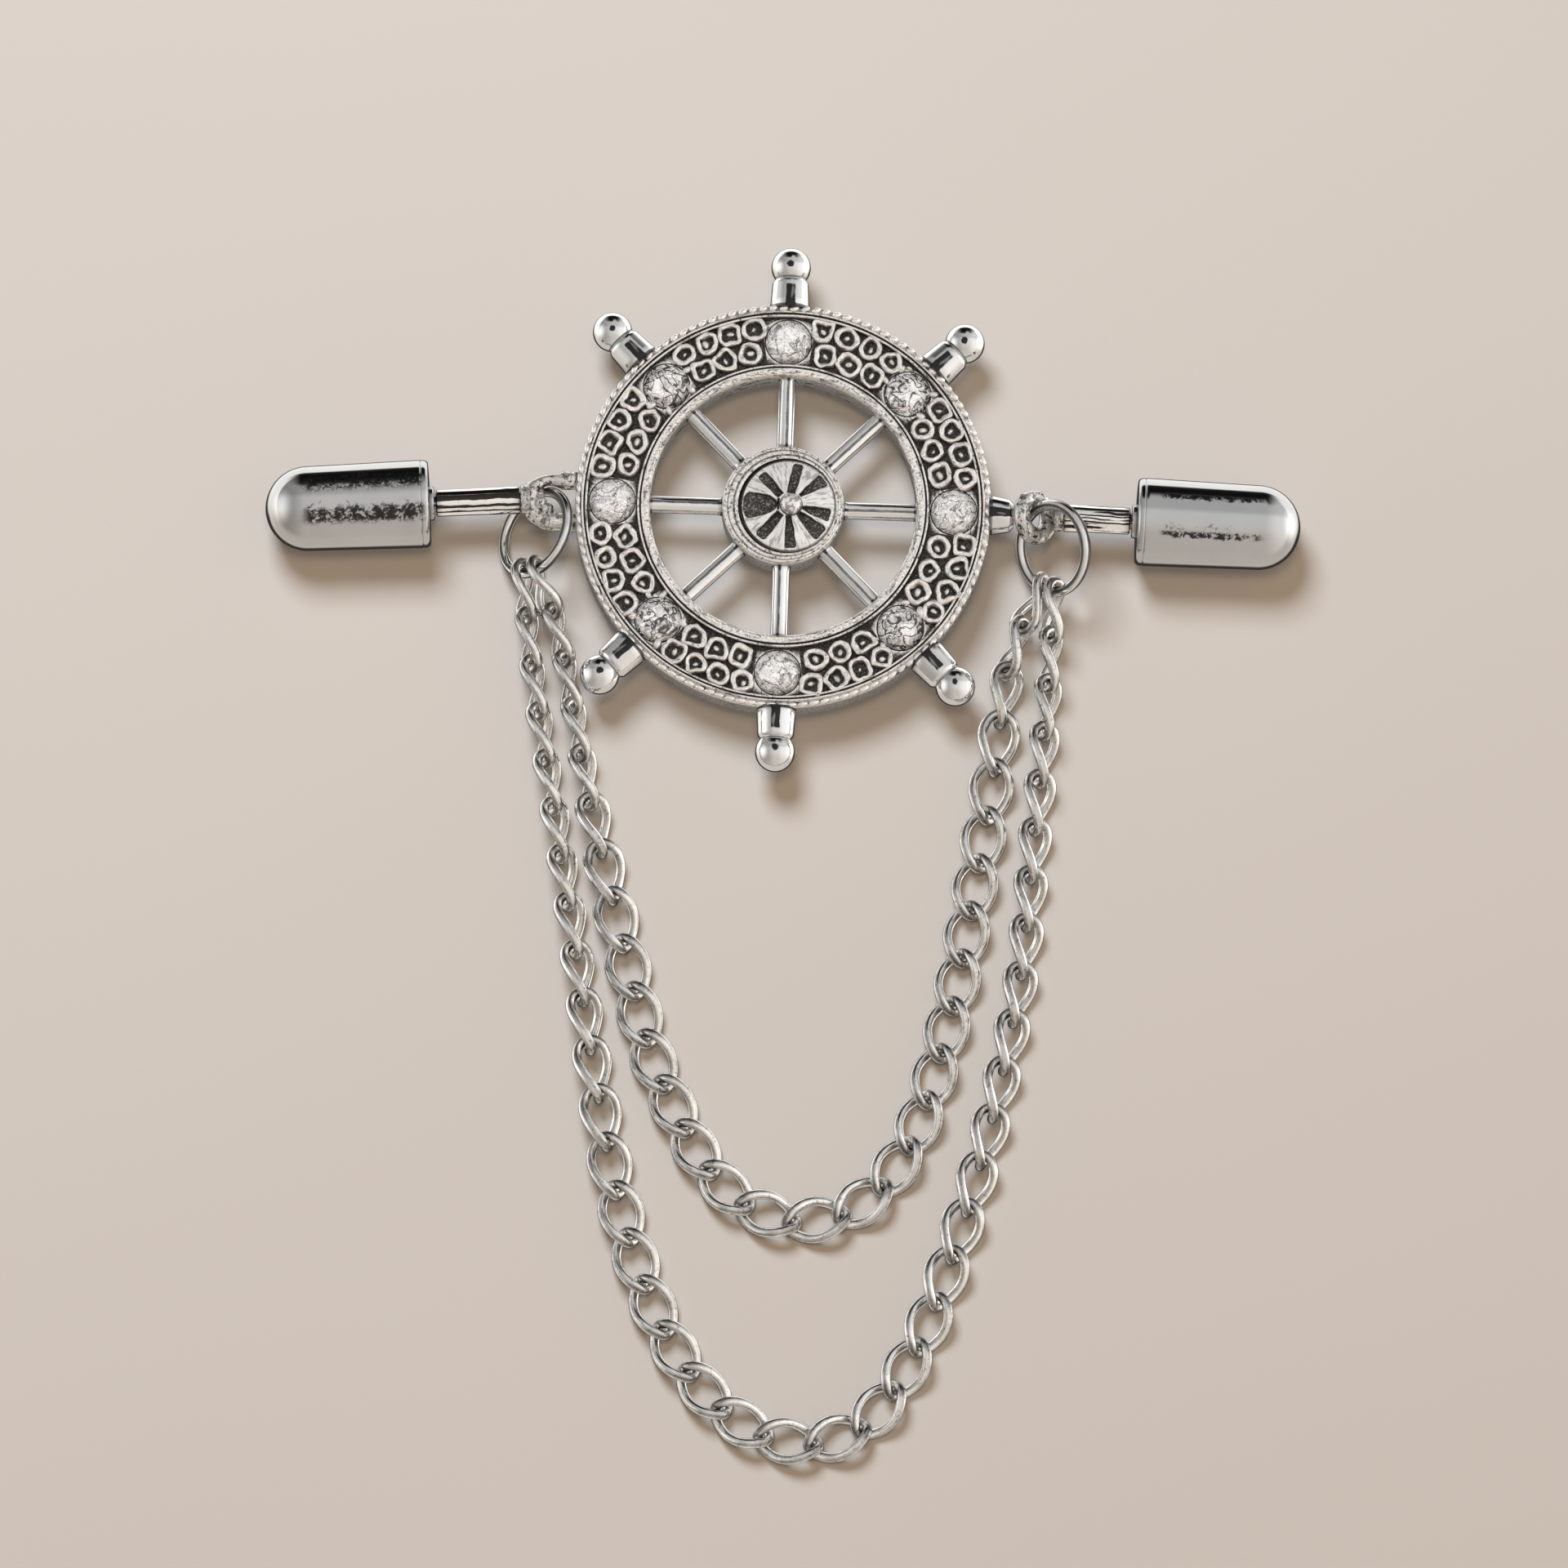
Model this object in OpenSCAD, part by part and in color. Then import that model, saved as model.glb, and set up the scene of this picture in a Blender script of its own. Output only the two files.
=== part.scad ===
// A lapel chain with a ship's wheel: a cast wheel with eight stones, a pin on each side
// with a pull-off cap, and two curb chains that hang from a jump ring at either eye.
// Millimetres. X runs right, Y up the wheel, Z toward the front. The origin is the centre
// of the wheel's flat back, and the pieces lie on a surface at the caps' lowest line.

/* [Rim] */
// Outside diameter of the rim
rim_d = 25.5; // [24.5:0.25:26.5]
// Thickness of the rim, back to front
rim_t = 2.2; // [2.1:0.05:2.5]
// Width of the rim, from its outer edge to the open middle
rim_w = 4.6; // [4.5:0.05:4.8]
// Width of the raised outer border
outer_border = 0.75; // [0.65:0.05:0.85]
// Width of the raised inner border
inner_border = 0.8; // [0.7:0.05:0.9]
// Depth of the sunk channel between the borders
channel_depth = 0.5; // [0.4:0.05:0.6]
// Diameter of the small relief rings in the channel
relief_d = 1.38; // [1.2:0.02:1.4]
// Width of a relief ring's band
relief_band = 0.23; // [0.18:0.01:0.28]
// Height of the relief rings over the channel's floor
relief_h = 0.35; // [0.2:0.05:0.45]

/* [Stones] */
// Diameter of a stone
stone_d = 2.84; // [2.6:0.02:2.86]
// Height of a stone over its girdle
crown_h = 0.5; // [0.4:0.05:0.6]
// Depth of a stone below its girdle
pavilion_h = 1; // [0.8:0.05:1.1]
// Diameter of a stone's table
table_d = 1.7; // [1.4:0.05:1.8]

/* [Spokes and hub] */
// Diameter of a spoke
spoke_d = 1.05; // [0.9:0.05:1.3]
// Diameter of the hub
hub_d = 7.5; // [7.3:0.05:8]
// Height of the hub over the wheel's back
hub_t = 2.3; // [2.2:0.05:2.5]
// Diameter of the rosette
rosette_d = 5.8; // [5.4:0.05:5.9]
// Height of the rosette's dome over its edge
dome_h = 0.45; // [0.3:0.05:0.6]
// Diameter of the ball in the middle of the rosette
ball_d = 1.46; // [1.3:0.02:1.6]
// Width of a rosette's slot
slot_w = 0.55; // [0.4:0.05:0.6]

/* [Handles] */
// Length of a handle beyond the rim
handle_len = 3.83; // [3.6:0.01:4.2]
// Diameter of a handle's sleeve at the rim
sleeve_d = 2.44; // [2.3:0.02:2.48]
// Diameter of the waist below the knob
waist_d = 1.96; // [1.7:0.02:2.1]
// Diameter of the round knob
knob_d = 2.44; // [2.3:0.02:2.48]

/* [Eyes and jump rings] */
// Diameter of the wire of the two eyes
eye_wire = 0.72; // [0.66:0.01:0.76]
// Width of the left eye, between wire centres
left_eye_w = 2.84; // [2.8:0.02:3]
// Diameter of the right eye, between wire centres
right_eye_d = 2.4; // [2.38:0.01:2.46]
// Outside diameter of a jump ring
ring_d = 6; // [5.9:0.05:6.1]
// Diameter of a jump ring's wire
ring_wire = 0.65; // [0.55:0.01:0.68]

/* [Pins and caps] */
// Diameter of a pin's straight seat
pin_d = 1.65; // [1.6:0.01:1.66]
// Length of a pin's straight seat
seat_len = 2.4; // [2.2:0.05:2.45]
// Diameter of a pin's needle
needle_d = 1; // [0.9:0.02:1.1]
// Length of the needle with its point
needle_len = 7.2; // [6:0.1:7.4]
// Greatest diameter of a cap
cap_d = 5.4; // [5.2:0.05:5.8]
// Length of a cap, from its mouth to its tip
cap_len = 10.05; // [9.8:0.05:11]
// How far each pin leans down from the level, left then right
pin_lean = [4.4, 1]; // [0:0.1:5]
// Gap between a needle and its cap's bore, all round
bore_gap = 0.05; // [0.03:0.01:0.08]

/* [Chains] */
// Length of a link over all
link_len = 4.36; // [4.3:0.01:4.38]
// Width of a link over all
link_w = 2.9; // [2.8:0.02:3]
// Diameter of a link's wire
link_wire = 0.5; // [0.44:0.01:0.52]
// Distance from one link to the next
link_pitch = 3; // [2.96:0.01:3.04]
// Length of the outer strand's fall below the wheel's centre
outer_fall = 57.4; // [55:0.2:60]
// Length of the inner strand's fall below the wheel's centre
inner_fall = 43.9; // [42:0.2:45.5]

/* [Hidden] */

// Fineness of round surfaces
$fn = 64;
// Overlap that fuses two shapes of one piece
weld = 0.1;
// Gap between pieces that seat in one another
seat_gap = 0.05;

// Rim: border edges, and the height of the axis that spokes, handles, eyes and pins share
rim_r = rim_d / 2;
rim_in_r = rim_r - rim_w;
channel_out_r = rim_r - outer_border;
channel_in_r = rim_in_r + inner_border;
channel_mid_r = (channel_out_r + channel_in_r) / 2;
channel_z = rim_t - channel_depth;
axis_h = 1.25;
edge_cut = 0.12;
// Fine groove in each border: its width, its depth and the line that it leaves standing
groove_w = 0.12;
groove_h = 0.2;
line_w = 0.13;

// Eight sectors, each with a stone at its start and relief rings in between
sectors = 8;
step = 360 / sectors;
outer_relief_r = channel_out_r - relief_d / 2 + 0.09;
inner_relief_r = channel_in_r + relief_d / 2 + 0.21;
outer_relief_turns = [-11.7, -3.9, 3.9, 11.7];
inner_relief_turns = [-9, 0, 9];

// Stones: the girdle is level with the channel's floor
girdle_t = 0.08;
girdle_z = channel_z;

// Hub and its off-centre rosette
hub_r = hub_d / 2;
rosette_r = rosette_d / 2;
rosette_at = [0.3, -0.1];
rosette_t = 0.45;
rosette_edge_z = hub_t + 0.05;
ball_at = [0.18, -0.01];
// Angles of the rosette's slots, and where a slot starts and ends
slot_turns = [39, 78, 131, 180, 231, 275, 320, 347];
slot_reach = [0.95, 2.6];
slot_depth = 0.3;

// Handles stand at every sector but the left and right ones, where the eyes are
handle_sectors = [1, 2, 3, 5, 6, 7];

// Eyes: places of their centres and of the bosses' faces, from the rim's outer edge
left_eye_x = rim_r + 1.6;
left_boss = [left_eye_x + left_eye_w / 2 - 0.27, left_eye_x + left_eye_w / 2 + 0.33];
left_boss_d = 1.86;
stub_end = rim_r + 1.4;
stub_d = 2;
stub_cut = 0.25;
right_eye_x = stub_end + 1.3;
right_eye_turn = 45;
right_boss = [right_eye_x + 1.15, right_eye_x + 1.75];
right_boss_d = 1.7;
tenon_d = 1;
tenon_len = 0.35;
tenon_gap = 0.03;

// Jump rings: centre from the eye's centre, swing about the vertical and tip, left then right
ring_r = (ring_d - ring_wire) / 2;
ring_at = [[-left_eye_x - 0.77, -1.9, axis_h - 0.47], [right_eye_x + 1.15, -2.06, axis_h + 0.45]];
ring_swing = [43.2, 45.4];
ring_tip = [-9, 15];

// Pins and caps, measured along the pin from the boss's face
shoulder_x = rim_r + 8.55;
pin_stem = [shoulder_x - left_boss[1], shoulder_x - right_boss[1]];
root_d = pin_d + 0.07;
shoulder_cut = 0.1;
point_len = 2;
mouth_gap = 0.4;
collar_d = 2.1;
collar_proud = 0.3;
cap_tail_d = cap_d - 0.2;
lip_w = 0.4;
surface_z = axis_h - cap_d / 2;

// Chain links: half sizes of the wire's centre line, its turn, and the facets
link_a = (link_len - link_wire) / 2;
link_b = (link_w - link_wire) / 2;
link_turn = -45;
link_steps = 14;
wire_sides = 6;
wire_r = link_wire / 2;
// Distance from a jump ring's wire to the centre of a link that hangs on it
hook_reach = link_a - wire_r - ring_wire / 2 - 0.18;

// Each row of a route: x and y as shares of the rings' distance and the strand's fall,
// lift over the surface in millimetres, and roll in degrees
AT_X = 0;
AT_Y = 1;
LIFT = 2;
ROLL = 3;
ring_span = 16;
outer_route = [
    [-0.955, -0.150, 0.10, -88],
    [-0.92, -0.210, 0.05, -84],
    [-0.84, -0.325, 0.05, -76],
    [-0.74, -0.470, 0.05, -66],
    [-0.64, -0.620, 0.05, -45],
    [-0.54, -0.745, 0.12, -10],
    [-0.40, -0.855, 0.05, 0],
    [-0.23, -0.935, 0.03, 0],
    [-0.02, -0.985, 0.03, 0],
    [0.21, -1.000, 0.03, 0],
    [0.43, -0.975, 0.03, 0],
    [0.61, -0.895, 0.06, 10],
    [0.755, -0.775, 0.10, 30],
    [0.875, -0.640, 0.05, 50],
    [0.96, -0.500, 0.05, 58],
    [1.00, -0.350, 0.05, 62],
    [1.03, -0.220, 0.05, 74],
    [1.04, -0.145, 0.05, 86]];
inner_route = [
    [-0.845, -0.185, 0.55, -90],
    [-0.78, -0.285, 0.10, -86],
    [-0.72, -0.385, 0.05, -78],
    [-0.635, -0.510, 0.08, -40],
    [-0.54, -0.640, 0.16, -4],
    [-0.44, -0.765, 0.03, 0],
    [-0.32, -0.860, 0.03, 0],
    [-0.20, -0.930, 0.03, 0],
    [-0.05, -0.980, 0.03, 0],
    [0.15, -1.000, 0.03, 0],
    [0.35, -0.980, 0.03, 0],
    [0.50, -0.925, 0.03, 0],
    [0.61, -0.835, 0.03, 0],
    [0.71, -0.680, 0.03, 0],
    [0.79, -0.490, 0.08, 0],
    [0.84, -0.350, 0.12, 24],
    [0.87, -0.250, 0.10, 62],
    [0.90, -0.185, 0.10, 95]];
// Where the end links hang: angle around the jump ring from its right side, left then right
outer_hang = [-102, -100];
inner_hang = [-75, -127];
samples = 12;

// Shapes shared by several pieces

// A ring of round wire around the Z axis
module wire_ring(radius, wire) {
    rotate_extrude()
        translate([radius, 0]) circle(d = wire, $fn = 32);
}

// A rod along X from one distance to another
module rod(from, to, d1, d2) {
    translate([from, 0, 0]) rotate([0, 90, 0]) cylinder(h = to - from, d1 = d1, d2 = d2);
}

// Wheel

module rim() {
    top = rim_t;
    rotate_extrude($fn = 128) polygon([
        [rim_in_r + edge_cut, 0],
        [rim_r - edge_cut, 0],
        [rim_r, edge_cut],
        [rim_r, top - edge_cut],
        [rim_r - edge_cut, top],
        [channel_out_r + line_w + groove_w, top],
        [channel_out_r + line_w + groove_w, top - groove_h],
        [channel_out_r + line_w, top - groove_h],
        [channel_out_r + line_w, top - edge_cut / 2],
        [channel_out_r, top - edge_cut / 2],
        [channel_out_r, channel_z],
        [channel_in_r, channel_z],
        [channel_in_r, top - edge_cut / 2],
        [channel_in_r - line_w, top - edge_cut / 2],
        [channel_in_r - line_w, top - groove_h],
        [channel_in_r - line_w - groove_w, top - groove_h],
        [channel_in_r - line_w - groove_w, top],
        [rim_in_r + edge_cut, top],
        [rim_in_r, top - edge_cut],
        [rim_in_r, edge_cut]]);
}

// The small rings in relief that fill the channel between two stones
module relief_ring() {
    difference() {
        circle(d = relief_d, $fn = 32);
        circle(d = relief_d - 2 * relief_band, $fn = 32);
    }
}

module relief() {
    translate([0, 0, channel_z - weld]) linear_extrude(relief_h + weld)
        for (k = [0 : sectors - 1]) rotate((k + 0.5) * step) {
            for (turn = outer_relief_turns) rotate(turn) translate([outer_relief_r, 0]) relief_ring();
            for (turn = inner_relief_turns) rotate(turn) translate([inner_relief_r, 0]) relief_ring();
        }
}

// The seat of one stone: a short bore over a cone
module stone_pocket() {
    pocket_d = stone_d + 2 * seat_gap;
    translate([channel_mid_r, 0, girdle_z - girdle_t - seat_gap]) {
        cylinder(h = rim_t, d = pocket_d);
        mirror([0, 0, 1]) cylinder(h = pavilion_h, d1 = pocket_d, d2 = 0.1);
    }
}

module spoke() {
    translate([0, 0, axis_h]) rod(hub_r - 0.4, rim_in_r + 0.3, spoke_d, spoke_d);
}

module hub() {
    difference() {
        union() {
            cylinder(h = hub_t - 0.15, d = hub_d);
            translate([0, 0, hub_t - 0.15]) wire_ring(hub_r - 0.15, 0.3);
            cylinder(h = hub_t, r = hub_r - 0.42);
        }
        translate([rosette_at[0], rosette_at[1], hub_t - rosette_t])
            cylinder(h = rim_t, r = rosette_r + seat_gap);
    }
}

module handle() {
    knob_x = rim_r + handle_len - knob_d / 2;
    waist_x = knob_x - 0.8;
    shoulder_r = 0.35;
    translate([0, 0, axis_h]) {
        rod(rim_r - 0.5, waist_x - shoulder_r, sleeve_d, sleeve_d - 0.2);
        translate([waist_x - shoulder_r, 0, 0]) rotate([0, 90, 0])
            wire_ring(sleeve_d / 2 - 0.1 - shoulder_r, 2 * shoulder_r);
        rod(waist_x - shoulder_r - weld, knob_x, waist_d, waist_d);
        translate([knob_x, 0, 0]) sphere(d = knob_d);
    }
}

// The left eye is a D-shaped loop with a boss that takes the pin's tenon
module left_eye() {
    half = left_eye_w / 2;
    translate([0, 0, axis_h]) difference() {
        union() {
            translate([-left_eye_x, 0, 0]) rotate(90) rotate_extrude(angle = 180)
                translate([half, 0]) circle(d = eye_wire, $fn = 32);
            for (side = [-1, 1]) translate([-left_eye_x, side * half, 0]) {
                sphere(d = eye_wire + 0.06, $fn = 32);
                rod(0.05, left_eye_x - rim_r + 0.5, eye_wire, eye_wire + 0.2);
            }
            on_left() rod(left_boss[0] - left_boss[1], 0, left_boss_d, left_boss_d);
        }
        on_left() rod(-tenon_len - seat_gap, 1, tenon_d + 2 * tenon_gap, tenon_d + 2 * tenon_gap);
    }
}

// The right eye is a turned ring, soldered to a sleeve in front and to its boss behind
module right_eye() {
    bead_d = 0.9;
    reach = right_eye_d / 2;
    drop = reach * sin(right_eye_turn);
    translate([0, 0, axis_h]) difference() {
        union() {
            rod(rim_r - 0.5, stub_end - stub_cut, sleeve_d, stub_d);
            rod(stub_end - stub_cut, stub_end, stub_d, stub_d - 2 * stub_cut);
            translate([right_eye_x, 0, 0]) rotate([0, right_eye_turn, 0]) wire_ring(reach, eye_wire);
            translate([right_eye_x - drop - 0.2, 0, drop - 0.1]) sphere(d = bead_d);
            translate([right_eye_x + drop + 0.15, 0, 0.1 - drop]) sphere(d = bead_d);
            on_right() rod(right_boss[0] - right_boss[1], 0, right_boss_d, right_boss_d);
        }
        on_right() rod(-tenon_len - seat_gap, 1, tenon_d + 2 * tenon_gap, tenon_d + 2 * tenon_gap);
    }
}

module wheel() {
    color("silver") {
        difference() {
            union() {
                rim();
                relief();
            }
            for (k = [0 : sectors - 1]) rotate(k * step) stone_pocket();
        }
        for (k = [0 : sectors - 1]) rotate(k * step) spoke();
        for (k = handle_sectors) rotate(k * step) handle();
        hub();
        left_eye();
        right_eye();
    }
}

// Rosette: a low dome with round-ended slots and a ball

module slot() {
    length = slot_reach[1] - slot_reach[0] - slot_w;
    translate([slot_reach[0] + slot_w / 2, 0]) {
        circle(d = slot_w, $fn = 24);
        translate([0, -slot_w / 2]) square([length, slot_w]);
        translate([length, 0]) circle(d = slot_w, $fn = 24);
    }
}

module rosette() {
    // Radius of the sphere whose cap is the dome
    dome_r = (rosette_r * rosette_r + dome_h * dome_h) / (2 * dome_h);
    base_z = hub_t - rosette_t + seat_gap;
    color("lightgray") translate([rosette_at[0], rosette_at[1], 0]) {
        difference() {
            intersection() {
                translate([0, 0, base_z]) cylinder(h = 3, r = rosette_r);
                translate([0, 0, rosette_edge_z + dome_h - dome_r]) sphere(r = dome_r, $fn = 128);
            }
            translate([0, 0, rosette_edge_z + dome_h / 2 - slot_depth]) linear_extrude(3)
                for (turn = slot_turns) rotate(turn) slot();
        }
        translate([ball_at[0], ball_at[1], rosette_edge_z + dome_h - ball_d / 9]) sphere(d = ball_d);
    }
}

// Stones

// Points of a ring of corners, turned by a share of a corner
function corners(count, radius, z, turn) =
    [for (k = [0 : count - 1])
        [radius * cos((k + turn) * 360 / count), radius * sin((k + turn) * 360 / count), z]];

// A round brilliant: table, star and main facets, girdle and pavilion, as the hull of its corners
module brilliant() {
    stone_r = stone_d / 2;
    star_r = (table_d / 2 + stone_r) / 2 + 0.06;
    points = concat(
        corners(8, table_d / 2, crown_h, 0),
        corners(8, star_r, 0.55 * crown_h, 0.5),
        corners(16, stone_r, 0, 0),
        corners(16, stone_r, -girdle_t, 0),
        corners(8, stone_r * 0.55, -girdle_t - 0.5 * pavilion_h, 0.5),
        [[0, 0, -girdle_t - pavilion_h]]);
    hull() polyhedron(points, [[for (k = [0 : len(points) - 1]) k]]);
}

module stone(k) {
    color("lightcyan") rotate((k - 1) * step) translate([channel_mid_r, 0, girdle_z]) brilliant();
}

// Pins and caps lie along X from the face of the boss

module on_left() {
    translate([-left_boss[1], 0, 0]) rotate(180 + pin_lean[0]) children();
}

module on_right() {
    translate([right_boss[1], 0, 0]) rotate(-pin_lean[1]) children();
}

module pin(stem) {
    seat_end = stem - shoulder_cut;
    color("silver") {
        rod(-tenon_len, seat_gap + weld, tenon_d, tenon_d);
        rod(seat_gap, seat_end - seat_len, root_d, pin_d);
        rod(seat_end - seat_len, seat_end, pin_d, pin_d);
        rod(seat_end, stem, pin_d, pin_d - 2 * shoulder_cut);
        rod(stem - weld, stem + needle_len - point_len, needle_d, needle_d);
        rod(stem + needle_len - point_len, stem + needle_len, needle_d, 0.1);
    }
}

module cap(stem) {
    mouth = stem + mouth_gap;
    dome_x = mouth + cap_len - cap_tail_d / 2;
    mouth_cut = 0.12;
    color("gainsboro") difference() {
        union() {
            rod(mouth - collar_proud, mouth + weld, collar_d, collar_d);
            rod(mouth, mouth + mouth_cut, cap_d - 2 * mouth_cut, cap_d);
            rod(mouth + mouth_cut, dome_x, cap_d, cap_tail_d);
            translate([dome_x, 0, 0]) rotate([0, 90, 0]) sphere(d = cap_tail_d, $fn = 96);
        }
        // The fine groove behind the lip
        translate([mouth + lip_w, 0, 0]) rotate([0, 90, 0]) difference() {
            cylinder(h = 0.1, d = cap_d + 1);
            translate([0, 0, -0.1]) cylinder(h = 0.3, d = cap_d - 0.14);
        }
        rod(stem, stem + needle_len + 0.4, needle_d + 2 * bore_gap, needle_d + 2 * bore_gap);
    }
}

module pin_left() {
    translate([0, 0, axis_h]) on_left() pin(pin_stem[0]);
}

module pin_right() {
    translate([0, 0, axis_h]) on_right() pin(pin_stem[1]);
}

module cap_left() {
    translate([0, 0, axis_h]) on_left() cap(pin_stem[0]);
}

module cap_right() {
    translate([0, 0, axis_h]) on_right() cap(pin_stem[1]);
}

// Jump rings

module jump_ring(side) {
    color("silver") translate(ring_at[side]) rotate([0, -ring_swing[side], 0])
        rotate([ring_tip[side], 0, 0]) wire_ring(ring_r, ring_wire);
}

// Chains

// The point of a jump ring's wire at an angle around it
function ring_point(side, turn) =
    let (u = [cos(ring_swing[side]), 0, sin(ring_swing[side])],
        n = [-sin(ring_swing[side]), 0, cos(ring_swing[side])],
        v = cos(ring_tip[side]) * [0, 1, 0] + sin(ring_tip[side]) * n)
    ring_at[side] + ring_r * (cos(turn) * u + sin(turn) * v);

// Half the height of a link that lies along the surface with this roll
function half_height(roll) =
    wire_r + max([for (t = [0 : 10 : 350]) link_b * sin(t) * sin(roll + link_turn * cos(t))]);

// A row of a route in millimetres and degrees
function route_row(row, fall) = [row[AT_X] * ring_span, row[AT_Y] * fall, row[LIFT], row[ROLL]];

// The place of a link's middle, from its row
function place(row) =
    [row[AT_X], row[AT_Y], surface_z + half_height(row[ROLL]) + row[LIFT]];

// The link that hangs on a ring and points at the next row: its place, and the roll at which
// its end stands square to the ring's wire
function hung(side, turn, next) =
    let (on_ring = ring_point(side, turn),
        wire = ring_point(side, turn + 1) - ring_point(side, turn - 1),
        way = (place(next) - on_ring) / norm(place(next) - on_ring),
        along = side == 0 ? way : -way,
        across = cross([0, 0, 1], along) / norm(cross([0, 0, 1], along)),
        up = cross(along, across),
        end_roll = atan2(-(wire * across), wire * up),
        roll = end_roll + (side == 0 ? link_turn : -link_turn),
        at = on_ring + hook_reach * way)
    [at[0], at[1], at[2] - surface_z - half_height(roll), roll];

// Smooth curve between the two middle ones of four rows
function between(p0, p1, p2, p3, s) =
    0.5 * (2 * p1 + (p2 - p0) * s + (2 * p0 - 5 * p1 + 4 * p2 - p3) * s * s
        + (3 * p1 - p0 - 3 * p2 + p3) * s * s * s);

function smooth(rows) =
    let (last = len(rows) - 1)
    [for (k = [0 : last - 1], j = [0 : samples - (k < last - 1 ? 1 : 0)])
        between(
            k > 0 ? rows[k - 1] : 2 * rows[0] - rows[1],
            rows[k],
            rows[k + 1],
            k < last - 1 ? rows[k + 2] : 2 * rows[last] - rows[last - 1],
            j / samples)];

// Length of a curve up to each of its points
function lengths(curve) =
    [for (k = 0, sum = 0; k < len(curve);
        k = k + 1,
        sum = sum + (k < len(curve) ? norm(curve[k] - curve[k - 1]) : 0)) sum];

// The value that a list has at a length, between its marks
function at_length(values, marks, s) =
    lookup(s, [for (k = [0 : len(values) - 1]) [marks[k], values[k]]]);

// The wire of one link: an oval along `way`, turned about it at both ends
module link(at, way, roll) {
    side = cross([0, 0, 1], way) / norm(cross([0, 0, 1], way));
    up = cross(way, side);
    function line(t) =
        let (tilt = roll + link_turn * cos(t))
        link_a * cos(t) * way + link_b * sin(t) * (cos(tilt) * side + sin(tilt) * up);
    function section(t) =
        let (middle = line(t),
            run = line(t + 2) - line(t - 2),
            ahead = run / norm(run),
            out = middle - (middle * ahead) * ahead,
            across = cross(ahead, out) / norm(out))
        [for (k = [0 : wire_sides - 1])
            at + middle + wire_r * (cos(k * 360 / wire_sides) * out / norm(out)
                + sin(k * 360 / wire_sides) * across)];
    points = [for (k = [0 : link_steps - 1], p = section(k * 360 / link_steps)) p];
    function index(k, j) = (k % link_steps) * wire_sides + j % wire_sides;
    faces = [for (k = [0 : link_steps - 1], j = [0 : wire_sides - 1], half = [0, 1])
        half == 0
            ? [index(k, j), index(k + 1, j + 1), index(k, j + 1)]
            : [index(k, j), index(k + 1, j), index(k + 1, j + 1)]];
    polyhedron(points, faces);
}

module strand(route, fall, hang) {
    rows = [for (row = route) route_row(row, fall)];
    first = hung(0, hang[0], rows[0]);
    last = hung(1, hang[1], rows[len(rows) - 1]);
    curve = smooth(concat([first], rows, [last]));
    points = [for (row = curve) place(row)];
    marks = lengths(points);
    total = marks[len(marks) - 1];
    count = round(total / link_pitch);
    reach = link_a / 2;
    function point(s) = [for (c = [0 : 2]) at_length([for (p = points) p[c]], marks, s)];
    color("silver") for (k = [0 : count]) {
        s = total * k / count;
        run = point(min(total, s + reach)) - point(max(0, s - reach));
        link(point(s), run / norm(run), at_length([for (row = curve) row[ROLL]], marks, s));
    }
}

module chain_inner() {
    strand(inner_route, inner_fall, inner_hang);
}

module chain_outer() {
    strand(outer_route, outer_fall, outer_hang);
}

wheel();
rosette();
stone(1);  // stone_1
stone(2);  // stone_2
stone(3);  // stone_3
stone(4);  // stone_4
stone(5);  // stone_5
stone(6);  // stone_6
stone(7);  // stone_7
stone(8);  // stone_8
pin_left();
pin_right();
cap_left();
cap_right();
jump_ring(0);  // jump_ring_left
jump_ring(1);  // jump_ring_right
chain_inner();
chain_outer();
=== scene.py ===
from math import asin, atan2, cos, degrees, hypot, pi, radians, sin, sqrt

import bpy
import bmesh
from mathutils import Matrix, Vector, noise


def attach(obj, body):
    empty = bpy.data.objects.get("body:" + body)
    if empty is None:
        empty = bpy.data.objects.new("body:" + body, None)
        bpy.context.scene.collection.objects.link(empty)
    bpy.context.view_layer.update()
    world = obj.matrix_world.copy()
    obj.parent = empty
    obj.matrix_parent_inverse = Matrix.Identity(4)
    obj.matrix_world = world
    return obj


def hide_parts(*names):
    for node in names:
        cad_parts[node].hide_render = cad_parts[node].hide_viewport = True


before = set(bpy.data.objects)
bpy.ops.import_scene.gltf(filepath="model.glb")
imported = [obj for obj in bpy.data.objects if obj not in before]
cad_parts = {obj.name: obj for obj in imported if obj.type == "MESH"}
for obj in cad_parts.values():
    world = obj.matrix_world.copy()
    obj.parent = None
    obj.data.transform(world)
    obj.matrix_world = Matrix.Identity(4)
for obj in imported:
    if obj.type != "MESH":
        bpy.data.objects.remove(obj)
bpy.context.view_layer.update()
print("frame loaded:", len(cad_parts), "nodes")

# Shapes are drawn in millimetres and scaled once, when a piece is made
mm = 0.001
axisHeight = 1.25
surfaceHeight = -1.45
stoneCircle = 10.475
plainSize = (1.0, 1.0, 1.0)


# Small helpers

def ripple(x, y, z):
    return noise.noise(Vector((x, y, z)))


def clamp(value):
    return min(1.0, max(0.0, value))


def turn(angle, axis="Z"):
    return Matrix.Rotation(radians(angle), 4, axis)


def addObject(name, data):
    result = bpy.data.objects.new(name, data)
    bpy.context.scene.collection.objects.link(result)
    return result


def smoothMesh(mesh, sharpAngle):
    mesh.shade_smooth()
    mesh.set_sharp_from_angle(angle=radians(sharpAngle))


def meshAfterModifiers(holder, name):
    graph = bpy.context.evaluated_depsgraph_get()
    mesh = bpy.data.meshes.new_from_object(holder.evaluated_get(graph))
    mesh.name = name
    return mesh


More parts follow.
